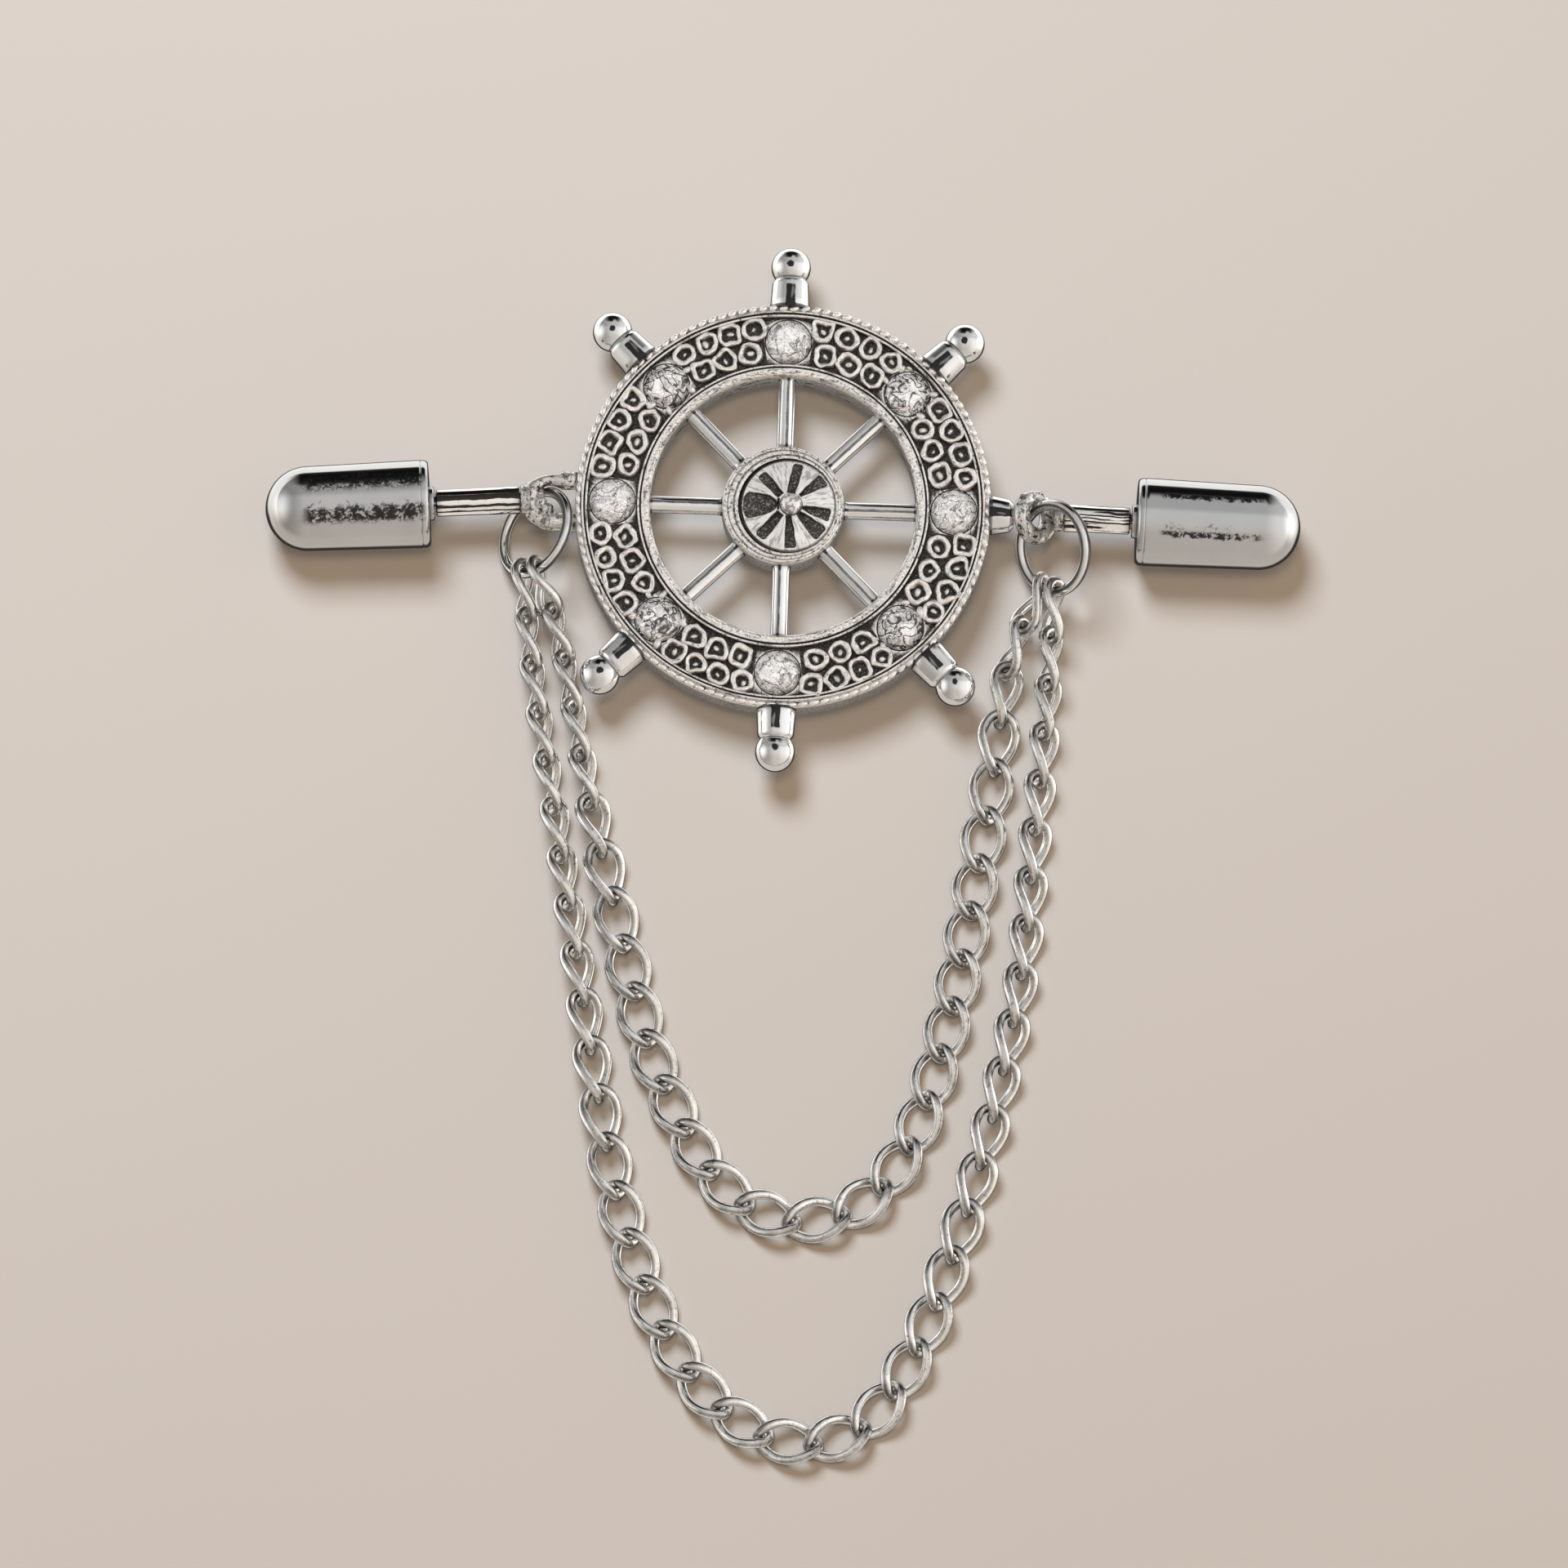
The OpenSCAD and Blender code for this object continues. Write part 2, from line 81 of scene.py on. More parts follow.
def settle(piece, material, nodes=("wheel",), slotName="cast_metal", body="brooch"):
    piece.data.materials.clear()
    piece.data.materials.append(material)
    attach(piece, body)
    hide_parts(*nodes)
    print("piece", piece.name, len(piece.data.polygons), "faces")


# Rings of points

def circlePoints(count):
    return [(cos(2 * pi * k / count), sin(2 * pi * k / count)) for k in range(count)]


def circle(radius, height, count, shift=(0.0, 0.0)):
    # A ring about Z, or its middle point where it has no size
    if radius < 1e-6:
        count = 1
    return [(radius * c + shift[0], radius * s + shift[1], height) for c, s in circlePoints(count)]


def soften(profile, steps=4):
    # Rounds the corners of a profile of (radius, height, corner radius, dirt ...) rows
    rows = []
    for index, (radius, height, corner, *rest) in enumerate(profile):
        if not corner or index in (0, len(profile) - 1):
            rows.append((radius, height, *rest))
            continue
        here = Vector((radius, height))
        before = Vector(profile[index - 1][:2]) - here
        after = Vector(profile[index + 1][:2]) - here
        start = here + before.normalized() * min(corner, before.length * 0.48)
        end = here + after.normalized() * min(corner, after.length * 0.48)
        for step in range(steps + 1):
            share = step / steps
            point = start * (1 - share) ** 2 + here * 2 * share * (1 - share) + end * share ** 2
            rows.append((point.x, point.y, *rest))
    return rows


def turned(profile, sides, lying=False):
    # Rings and dirt of a turned shape about Z, or about X for shapes that lie down
    rings, dirtAndShade = [], []
    for radius, height, level in soften(profile):
        ring = circle(radius, height, sides)
        rings.append([(z, x, y) for x, y, z in ring] if lying else ring)
        dirtAndShade.append(level)
    return rings, dirtAndShade


def ballRings(radius):
    return [circle(radius * sin(pi * step / 24), -radius * cos(pi * step / 24), 40)
            for step in range(25)]


def wireRings(line, sizes, sides, closed=False):
    # Rings of round wire along a line of points, of one size or a size for each point
    rings = []
    last = len(line) - 1
    for index, point in enumerate(line):
        if closed:
            run = line[(index + 1) % len(line)] - line[index - 1]
        else:
            run = line[min(last, index + 1)] - line[max(0, index - 1)]
        run = run.normalized()
        across = Vector((0, 0, 1)).cross(run)
        if across.length < 1e-4:
            across = Vector((1, 0, 0)).cross(run)
        across = across.normalized()
        over = run.cross(across)
        size = sizes[index] if isinstance(sizes, list) else sizes
        rings.append([point + (across * c + over * s) * size for c, s in circlePoints(sides)])
    return rings


def paintedWireBands(sides, lean=0.0, bare=0.45):
    # Painted reflection: wire is left bright on four faces and painted dark between them, as the dark
    # bands that polished round wire mirrors
    waves = [abs(sin(4 * pi * k / sides - 2 * radians(lean))) for k in range(sides)]
    return tuple(clamp((wave - bare) / (0.9 - bare)) for wave in waves)


class Shell:
    # Gathers the surfaces of one piece, with the dirt and painted shade of each point and its own
    # coordinates
    def __init__(self):
        self.points, self.faces, self.dirtAndShade, self.local = [], [], [], []

    def addRings(self, rings, dirtAndShade=0.0, place=None, loop=False):
        # Rings joined in order, with dirt and painted shade for all, for each ring or for each of its
        # points
        starts = []
        for index, ring in enumerate(rings):
            starts.append(len(self.points))
            level = dirtAndShade[index] if isinstance(dirtAndShade, list) else dirtAndShade
            for spot, point in enumerate(ring):
                point = Vector(point)
                self.local.append(point)
                self.points.append(place @ point if place else point)
                self.dirtAndShade.append(level[spot] if isinstance(level, tuple) else level)
        for a in range(len(rings) if loop else len(rings) - 1):
            b = (a + 1) % len(rings)
            countA, countB = len(rings[a]), len(rings[b])
            for k in range(max(countA, countB)):
                corners = [starts[a] + k % countA, starts[a] + (k + 1) % countA,
                           starts[b] + (k + 1) % countB, starts[b] + k % countB]
                corners = list(dict.fromkeys(corners))
                if len(corners) > 2:
                    self.faces.append(corners)
        return self

    def addTurned(self, profile, sides, lying=False, place=None):
        return self.addRings(*turned(profile, sides, lying), place)

    def build(self, name, sharpAngle=40):
        mesh = bpy.data.meshes.new(name)
        mesh.from_pydata([point * mm for point in self.points], [], self.faces)
        mesh.attributes.new("dirtAndShade", "FLOAT", "POINT").data.foreach_set("value", self.dirtAndShade)
        flat = [value for point in self.local for value in point]
        mesh.attributes.new("local", "FLOAT_VECTOR", "POINT").data.foreach_set("vector", flat)
        work = bmesh.new()
        work.from_mesh(mesh)
        bmesh.ops.recalc_face_normals(work, faces=work.faces)
        work.to_mesh(mesh)
        work.free()
        smoothMesh(mesh, sharpAngle)
        return addObject(name, mesh)


# Node trees

class Wire:
    # A socket that can be reckoned with
    def __init__(self, owner, socket):
        self.owner, self.socket = owner, socket

    def maths(self, operation, *others, clamped=False):
        node = self.owner.tree.nodes.new("ShaderNodeMath")
        node.operation = operation
        node.use_clamp = clamped
        for index, value in enumerate((self,) + others):
            self.owner.feed(node.inputs[index], value)
        return Wire(self.owner, node.outputs[0])

    def __add__(self, other):
        return self.maths("ADD", other)

    def __sub__(self, other):
        return self.maths("SUBTRACT", other)

    def __mul__(self, other):
        return self.maths("MULTIPLY", other)

    def __truediv__(self, other):
        return self.maths("DIVIDE", other)

    def __rsub__(self, other):
        return self * -1 + other

    __radd__ = __add__

    def clamped(self):
        return self.maths("ADD", 0.0, clamped=True)

    def absolute(self):
        return self.maths("ABSOLUTE")

    def larger(self, other):
        return self.maths("MAXIMUM", other)


class NodeTree:
    # Builds the nodes of a shader, a world or a geometry tree
    def __init__(self, tree):
        self.tree = tree

    def feed(self, socket, value):
        if isinstance(value, Wire):
            self.tree.links.new(value.socket, socket)
        else:
            socket.default_value = value

    def add(self, kind, settings=None, inputs=None, output=0):
        node = self.tree.nodes.new(kind)
        for name, value in (settings or {}).items():
            setattr(node, name, value)
        for name, value in (inputs or {}).items():
            self.feed(node.inputs[name], value)
        return Wire(self, node.outputs[output])

    def parts(self, vector):
        node = self.add("ShaderNodeSeparateXYZ", inputs={0: vector}).socket.node
        return [Wire(self, socket) for socket in node.outputs]

    def vector(self, x, y, z):
        return self.add("ShaderNodeCombineXYZ", inputs={0: x, 1: y, 2: z})

    def vectorMaths(self, operation, first, second, output=0):
        return self.add("ShaderNodeVectorMath", {"operation": operation}, {0: first, 1: second}, output)

    def blend(self, share, first, second):
        colours = [value + (1.0,) if isinstance(value, tuple) else value for value in (first, second)]
        return self.add("ShaderNodeMix", {"data_type": "RGBA", "clamp_factor": True},
                        {0: share, 6: colours[0], 7: colours[1]}, 2)

    def ramp(self, value, low, high, toLow=0.0, toHigh=1.0):
        # Smooth step of a value between two limits
        return self.add("ShaderNodeMapRange", {"interpolation_type": "SMOOTHSTEP"},
                        {"Value": value, "From Min": low, "From Max": high,
                         "To Min": toLow, "To Max": toHigh})

    def fade(self, value, low, high):
        return self.ramp(value, low, high, 1.0, 0.0)

    def band(self, value, middle, core, half):
        # Full within the core of a band about its middle, and nothing outside it
        return self.fade((value - middle).absolute(), core, half)

    def length(self, x, y):
        return (x * x + y * y).maths("SQRT")

    def grain(self, place, scale, detail=3.0, rough=0.55, warp=0.0):
        return self.add("ShaderNodeTexNoise", inputs={
            "Vector": place, "Scale": scale, "Detail": detail, "Roughness": rough, "Distortion": warp})

    def attribute(self, name, output="Fac"):
        return self.add("ShaderNodeAttribute", {"attribute_name": name}, output=output)


class Finish(NodeTree):
    # One material with its shader and the coordinates that its patterns use, in millimetres
    def __init__(self, name, settings):
        self.material = bpy.data.materials.new(name)
        self.material.use_nodes = True
        super().__init__(self.material.node_tree)
        self.shader = self.tree.nodes["Principled BSDF"]
        for socketName, value in settings.items():
            self.shader.inputs[socketName].default_value = value
        coordinates = self.add("ShaderNodeTexCoord", output="Object")
        self.place = self.vectorMaths("MULTIPLY", coordinates, (1 / mm,) * 3)
        self.local = self.attribute("local", "Vector")
        # Dirt of each point, and on wire the painted dark reflection bands
        self.dirtAndShade = self.attribute("dirtAndShade")

    def drive(self, name, value):
        self.feed(self.shader.inputs[name], value)

    def done(self, colour, rough, height, strength, distance):
        self.drive("Base Color", colour)
        self.drive("Roughness", rough)
        self.drive("Normal", self.add("ShaderNodeBump", inputs={
            "Height": height, "Strength": strength, "Distance": distance * mm}))
        return self.material


castLook = {
    "bright": (0.97, 0.96, 0.94), "dull": (0.8, 0.79, 0.77), "dark": (0.035, 0.033, 0.03),
    "pitScale": 5.0, "pitLow": 0.34, "ragged": 1.2, "pits": 0.7, "specks": 0.3, "streaks": 0.55,
    "smooth": 0.25, "relief": 0.8}


def castFinish(name, **changes):
    # Old cast silver: bright where it is worn, dark in the recesses, pitted and streaked all over
    look = {**castLook, **changes}
    finish = Finish(name, {"Metallic": 0.78, "Specular IOR Level": 0.5})
    coarse = finish.grain(finish.place, look["pitScale"], 5.0, 0.62)
    fine = finish.grain(finish.place, look["pitScale"] * 3.1, 3.0, 0.6)
    x, y, z = finish.parts(finish.place)
    reach = finish.length(x, y)
    swept = finish.vector(x / reach * 3.2, y / reach * 3.2, reach * 2.4 + z * 1.4)
    streaks = finish.fade(finish.grain(swept, 2.4, 3.0, 0.62), 0.37, 0.46)
    pits = finish.fade(coarse, look["pitLow"], look["pitLow"] + 0.13)
    specks = finish.fade(fine, 0.36, 0.46)
    soil = (finish.dirtAndShade * 1.5 + (coarse - 0.5) * look["ragged"] - 0.25).clamped()
    dark = (soil + pits * look["pits"] + specks * look["specks"] + streaks * look["streaks"]).clamped()
    glints = finish.ramp(fine, 0.57, 0.64) * 0.3
    tone = finish.blend(finish.grain(finish.place, 0.9, 2.0), look["bright"], look["dull"])
    colour = finish.blend(dark, tone, finish.blend(glints, look["dark"], look["dull"]))
    rough = look["smooth"] + dark * 0.35 + (fine - 0.5) * 0.12
    return finish.done(colour, rough, coarse * 0.6 + fine * 0.4 - streaks * 0.2, look["relief"], 0.03)


def polishedFinish(name, look):
    # Bright plated metal with faint lengthwise lines, and where the look asks for them painted
    # reflections: a dark streak along the upper side, painted shade on the flanks and a dark dot on the
    # knob
    finish = Finish(name, {"Metallic": 1.0})
    x, y, z = finish.parts(finish.local)
    stretched = finish.vector(x * look["lineStretch"], y, z)
    lines = finish.grain(stretched, look["lineScale"], 2.0, 0.5)
    cloud = finish.grain(finish.place, 1.3, 4.0, 0.6)
    pits = finish.fade(finish.grain(finish.place, 6.5, 4.0, 0.65), 0.30, 0.40)
    dark = finish.dirtAndShade * 1.3 + (cloud - 0.5) * 0.5 - 0.2 + pits * look["pits"]
    if "paintedReflectionAt" in look:
        # Painted reflection: a dark streak along the upper side, broken here and there, and painted shade
        # darkening the flanks
        half = look["paintedReflectionHalf"]
        around = z.maths("ARCTAN2", y) * (180 / pi)
        off = (around - look["paintedReflectionAt"] + (cloud - 0.5) * 10.0).absolute()
        paintedReflection = finish.ramp(off, half * look["paintedReflectionSoft"], half, look["paintedReflectionDepth"], 0.0)
        paintedReflection = paintedReflection * finish.ramp(lines, 0.3, 0.5, 0.5, 1.0)
        paintedFlankShade = finish.ramp(y.absolute(), look["paintedFlankShade"] * 0.8, look["paintedFlankShade"], 0.0, 0.6)
        dark = dark + (paintedReflection + paintedFlankShade) * finish.fade(x, look["paintedReflectionTo"] - 0.2, look["paintedReflectionTo"])
    if "paintedDotAt" in look:
        # Painted reflection: a dark dot on top of the knob
        off = finish.length(x - look["paintedDotAt"], y) + (cloud - 0.5) * 0.5
        dark = dark + finish.ramp(off, 0.12, 0.27, 1.5, 0.0) * finish.ramp(z, 0.6, 0.9)
    dark = dark.clamped()
    colour = finish.blend(dark, finish.blend(lines, look["bright"], look["dull"]), look["dark"])
    rough = look["smooth"] + cloud * 0.05 + dark * 0.35
    return finish.done(colour, rough, lines * 0.7 + cloud * 0.3, look["relief"], 0.01)


# Copies of a small shape, set at points that carry their turn and size

def copiesTree():
    tree = bpy.data.node_groups.new("set copies", "GeometryNodeTree")
    face = tree.interface
    for name, kind in (("Geometry", "Geometry"), ("Shape", "Object"), ("Finish", "Material"),
                       ("Wear", "Float"), ("Wear size", "Float"), ("Wear seed", "Float")):
        face.new_socket(name, in_out="INPUT", socket_type="NodeSocket" + kind)
    face.new_socket("Geometry", in_out="OUTPUT", socket_type="NodeSocketGeometry")
    nodes = NodeTree(tree)
    entries = {socket.name: Wire(nodes, socket)
               for socket in tree.nodes.new("NodeGroupInput").outputs}

    def named(name):
        return nodes.add("GeometryNodeInputNamedAttribute", {"data_type": "FLOAT_VECTOR"}, {"Name": name})

    shape = nodes.add("GeometryNodeObjectInfo", {"transform_space": "ORIGINAL"},
                      {"Object": entries["Shape"]}, "Geometry")
    rotation = nodes.add("FunctionNodeEulerToRotation", inputs={0: named("turn")})
    copies = nodes.add("GeometryNodeInstanceOnPoints", inputs={
        "Points": entries["Geometry"], "Instance": shape, "Rotation": rotation,
        "Scale": named("size")})
    plain = nodes.add("GeometryNodeRealizeInstances", inputs={"Geometry": copies})
    rough = nodes.add("ShaderNodeTexNoise", {"noise_dimensions": "4D"}, {
        "Vector": nodes.add("GeometryNodeInputPosition"), "W": entries["Wear seed"],
        "Scale": entries["Wear size"], "Detail": 2.0}, "Color")
    offset = nodes.add("ShaderNodeVectorMath", {"operation": "SCALE"}, {
        0: nodes.vectorMaths("SUBTRACT", rough, (0.5, 0.5, 0.5)), "Scale": entries["Wear"]})
    worn = nodes.add("GeometryNodeSetPosition", inputs={"Geometry": plain, "Offset": offset})
    done = nodes.add("GeometryNodeSetMaterial", inputs={
        "Geometry": worn, "Material": entries["Finish"]})
    tree.links.new(done.socket, tree.nodes.new("NodeGroupOutput").inputs[0])
    return tree


copyTree = copiesTree()
copyInputs = {item.name: item.identifier for item in copyTree.interface.items_tree
              if item.item_type == "SOCKET" and item.in_out == "INPUT"}


def setCopies(name, shape, spots, material, wear=(0.0, 2.0, 0.0), sharpAngle=40, **where):
    # Spots are (place, turn, size) rows; wear is its depth, its size and a seed
    mesh = bpy.data.meshes.new(name + " spots")
    mesh.from_pydata([Vector(place) * mm for place, angles, size in spots], [], [])
    for label, column in (("turn", 1), ("size", 2)):
        mesh.attributes.new(label, "FLOAT_VECTOR", "POINT").data.foreach_set(
            "vector", [value for row in spots for value in row[column]])
    mesh.attributes.new("copy", "FLOAT", "POINT").data.foreach_set(
        "value", [float(k) for k in range(len(spots))])
    holder = addObject(name + " spots", mesh)
    modifier = holder.modifiers.new("copies", "NODES")
    modifier.node_group = copyTree
    for label, value in (("Shape", shape), ("Finish", material), ("Wear", wear[0] * mm),
                         ("Wear size", wear[1] / mm), ("Wear seed", wear[2])):
        modifier[copyInputs[label]] = value
    result = meshAfterModifiers(holder, name)
    smoothMesh(result, sharpAngle)
    bpy.data.objects.remove(holder)
    bpy.data.objects.remove(shape)
    settle(addObject(name, result), material, **where)


def aroundAxis(sectors):
    # Spots for shapes that lie along X and are set round the wheel's middle
    return [((0.0, 0.0, axisHeight), (0.0, 0.0, radians(45 * k)), plainSize) for k in sectors]


# Rim: two borders with a fine groove each, round a dark channel with pockets for the stones

rim = {
    "outer": 12.75, "inner": 8.15, "top": 2.2, "channelOut": 12.0, "channelIn": 8.95,
    "floor": 1.7, "line": 0.13, "groove": 0.12, "grooveDepth": 0.2, "sides": 400,
    "pocket": 1.47, "pocketFloor": 1.57, "pocketTip": 0.57, "sharpAngle": 60,
}
rimFinish = castFinish("worn cast silver")


def buildRim():
    outer, inner, top, floor = rim["outer"], rim["inner"], rim["top"], rim["floor"]
    out, inn = rim["channelOut"], rim["channelIn"]
    line, groove = rim["line"], rim["groove"]
    low, ledge = top - rim["grooveDepth"], top - 0.06
    profile = [
        (inner + 0.12, 0.0, 0.06, 0.3), (outer - 0.12, 0.0, 0.06, 0.3), (outer, 0.12, 0.08, 0.2),
        (outer, top - 0.34, 0.12, 0.2), (outer - 0.08, top - 0.18, 0.06, 0.35),
        (outer - 0.36, ledge, 0.04, 0.45), (outer - 0.41, top - 0.005, 0.03, 0.15),
        (out + line + groove, top, 0.05, 0.1), (out + line + groove - 0.03, low, 0.04, 0.95),
        (out + line + 0.02, low, 0.04, 0.95), (out + line, ledge, 0.04, 0.1),
        (out + 0.01, ledge, 0.05, 0.15), (out, floor, 0.05, 1.0), (inn, floor, 0.05, 1.0),
        (inn - 0.01, ledge, 0.05, 0.05), (inn - line, ledge, 0.04, 0.0),
        (inn - line - 0.02, low, 0.04, 0.9), (inn - line - groove + 0.03, low, 0.04, 0.9),
        (inn - line - groove, top, 0.05, 0.0), (inner + 0.14, top - 0.02, 0.14, 0.05),
        (inner, top - 0.3, 0.12, 0.35), (inner, 0.12, 0.06, 0.5), (inner + 0.12, 0.0, 0.06, 0.3),
    ]
    rings, dirtAndShade = turned(profile, rim["sides"])
    return Shell().addRings(rings[:-1], dirtAndShade[:-1], loop=True).build("wheel_rim", rim["sharpAngle"])


def cutPockets(piece):
    shell = Shell()
    above = rim["top"] + 0.4
    profile = [(0.0, rim["pocketTip"], 0, 1.0), (rim["pocket"], rim["pocketFloor"], 0, 1.0),
               (rim["pocket"], above, 0, 1.0), (0.0, above, 0, 1.0)]
    for k in range(8):
        shell.addTurned(profile, 64, place=turn(45 * k) @ Matrix.Translation((stoneCircle, 0, 0)))
    cutter = shell.build("pocket cutter")
    modifier = piece.modifiers.new("pockets", "BOOLEAN")
    modifier.operation = "DIFFERENCE"
    modifier.solver = "EXACT"
    modifier.object = cutter
    mesh = meshAfterModifiers(piece, "wheel_rim")
    piece.modifiers.clear()
    piece.data = mesh
    smoothMesh(mesh, rim["sharpAngle"])
    bpy.data.objects.remove(cutter)
    return piece


settle(cutPockets(buildRim()), rimFinish)


# Rope edge along the rim's outer shoulder, and worn beads along its inner one

rope = {"name": "rim_rope_edge", "count": 122, "radius": 12.55, "height": 2.06,
        "size": (0.29, 0.2, 0.21), "lean": 28, "dip": -6, "worn": 1.0,
        "jitter": (0.2, 0.37, 4.0), "swell": (0.22, 0.61, 9.0), "seed": 3.0}
innerBeads = {"name": "rim_inner_beads", "count": 118, "radius": 8.42, "height": 2.13,
              "size": (0.19, 0.15, 0.11), "lean": -25, "dip": 0, "worn": 0.0,
              "jitter": (0.25, 0.43, 14.0), "swell": (0.35, 0.57, 19.0), "seed": 11.0}
ropeFinish = castFinish(
    "worn rope silver", bright=(1.0, 0.99, 0.97), dull=(0.88, 0.87, 0.85), dark=(0.05, 0.045, 0.04),
    pitScale=4.0, pitLow=0.27, ragged=0.5, pits=0.6, specks=0.15, streaks=0.15, smooth=0.22, relief=0.4)


def beadShape(name, sides=10, levels=6):
    rows = [(sin(pi * k / levels), -cos(pi * k / levels), 0, 0.0) for k in range(levels + 1)]
    return Shell().addTurned(rows, sides, True).build(name, 180)


def edgeSpots(look):
    spots = []
    jitter, pace, seed = look["jitter"]
    swelling, swellPace, swellSeed = look["swell"]
    length, width, thick = look["size"]
    for k in range(look["count"]):
        angle = 2 * pi * (k + jitter * ripple(k * pace, seed, 0)) / look["count"]
        swell = 1 + swelling * ripple(k * swellPace, swellSeed, 2.0)
        # Crisp at the top, nearly worn away at the lower left
        worn = (0.5 - 0.35 * sin(angle) - 0.25 * cos(angle)) * look["worn"]
        place = (look["radius"] * cos(angle), look["radius"] * sin(angle), look["height"] - 0.08 * worn)
        angles = (0.0, radians(look["dip"]), angle + pi / 2 + radians(look["lean"] * (1 - worn)))
        size = (length * (swell + 0.2 * worn), width * swell * (1 - 0.2 * worn), thick * (1 - 0.2 * worn))
        spots.append((place, angles, size))
    return spots


for look, finish in ((rope, ropeFinish), (innerBeads, rimFinish)):
    setCopies(look["name"], beadShape("bead"), edgeSpots(look), finish, (0.06, 2.4, look["seed"]), 180)


# Relief rings in the channel, each with a small lump of metal inside

relief = {
    "size": 1.46, "band": 0.31, "floor": 1.7, "top": 2.08,
    # Radius of a row and the turns of its rings from the middle between two stones
    "rows": ((11.36, (-11.7, -3.9, 3.9, 11.7)), (9.85, (-9, 0, 9))),
    # Roundness of the outer and the inner half: 2 is round, less is pointed, more is square
    "kinds": (("round", 2.0, 2.2, (0, 4)), ("arched", 4.5, 2.0, (3, 6)),
              ("pointed", 1.4, 2.2, (1,)), ("squared", 3.2, 3.0, (2, 5))),
    "clumps": 9, "clumpReach": 1.62, "clumpsInside": (9.15, 11.8), "clumpHeight": 1.78,
}
reliefFinish = castFinish(
    "worn relief silver", bright=(0.98, 0.97, 0.95), dull=(0.84, 0.83, 0.81),
    dark=(0.03, 0.028, 0.026), pitLow=0.3, ragged=0.8, pits=0.6, streaks=0.2, smooth=0.3)


def reliefShape(outerPower, innerPower):
    half, band = relief["size"] / 2, relief["band"]
    low, top = relief["floor"] - 0.06, relief["top"]
    profile = [
        (0.03, low, 0, 1.0), (0.015, top - 0.2, 0.05, 0.5), (-0.04, top - 0.01, 0.07, 0.0),
        (-band / 2, top + 0.01, 0.05, 0.0), (0.04 - band, top - 0.01, 0.07, 0.0),
        (-0.015 - band, top - 0.2, 0.05, 0.5), (-0.03 - band, low, 0, 1.0),
    ]
    rings, dirtAndShade = [], []
    for offset, height, level in soften(profile, 3):
        ring = []
        for c, s in circlePoints(48):
            power = outerPower if c > 0 else innerPower
            size = (abs(c) ** power + abs(s) ** power) ** (-1 / power) * half + offset
            ring.append((size * c, size * s, height))
        rings.append(ring)
        dirtAndShade.append(level)
    return Shell().addRings(rings, dirtAndShade, loop=True).build("relief ring", 180)


def makeReliefSpots():
    spots = []
    for sector in range(8):
        for radius, turns in relief["rows"]:
            for off in turns:
                count = len(spots)
                angle = radians(45 * sector + 22.5 + off)
                stretch = 1 + 0.07 * ripple(count * 0.93, 6.0, 1.0)
                spots.append(((radius * cos(angle), radius * sin(angle), 0.0),
                              (0.0, 0.0, angle + ripple(count * 0.71, 1.0, 3.0) * 1.2),
                              (stretch, 1.02 - 0.4 * (stretch - 1), 1.0)))
    return spots


def lumpSpots():
    spots = []
    for index, (place, angles, size) in enumerate(reliefSpots):
        drift = Vector((ripple(index * 1.3, 2.0, 0.0), ripple(index * 1.3, 8.0, 0.0), 0)) * 0.16
        swell = 0.85 + 0.5 * ripple(index * 0.9, 5.0, 7.0)
        spots.append((Vector(place) + drift + Vector((0, 0, relief["floor"])),
                      (0.0, 0.0, index * 2.1), (0.27 * swell, 0.19 * swell, 0.18)))
    # Clumps of metal that ran together beside the diagonal stones
    for index in range(4 * relief["clumps"]):
        angle = radians(45 + 90 * (index // relief["clumps"]))
        way = 2 * pi * (index % relief["clumps"]) / relief["clumps"] + ripple(index * 1.1, 3.0, 4.0)
        away = relief["clumpReach"] + 0.2 * ripple(index * 1.7, 6.0, 2.0)
        spot = Vector((stoneCircle * cos(angle), stoneCircle * sin(angle), relief["clumpHeight"]))
        spot += Vector((cos(way), sin(way), 0)) * away
        inside, outside = relief["clumpsInside"]
        if inside < hypot(spot.x, spot.y) < outside:
            swell = 0.26 + 0.16 * ripple(index * 2.3, 1.0, 9.0)
            spots.append((spot, (0.0, 0.0, index * 1.3), (swell * 1.2, swell * 0.8, 0.24)))
    return spots


reliefSpots = makeReliefSpots()
for kind, outerPower, innerPower, members in relief["kinds"]:
    chosen = [spot for index, spot in enumerate(reliefSpots)
              if (index * 3 + index // 7) % 7 in members]
    setCopies("rim_relief_" + kind, reliefShape(outerPower, innerPower), chosen, reliefFinish,
              (0.5, 1.2, 5.0), 180)
setCopies("rim_relief_lumps", beadShape("relief lump"), lumpSpots(), reliefFinish, (0.2, 3.0, 8.0), 180)


# Hub: two worn rings round the rosette's recess, which is set a little off centre

hub = {"radius": 3.75, "top": 2.3, "recess": 2.93, "recessDepth": 0.45, "shift": (0.23, -0.07)}
hubFinish = castFinish("worn hub silver", dark=(0.04, 0.037, 0.034), pitLow=0.36, pits=0.75,
                       specks=0.4, streaks=0.25)


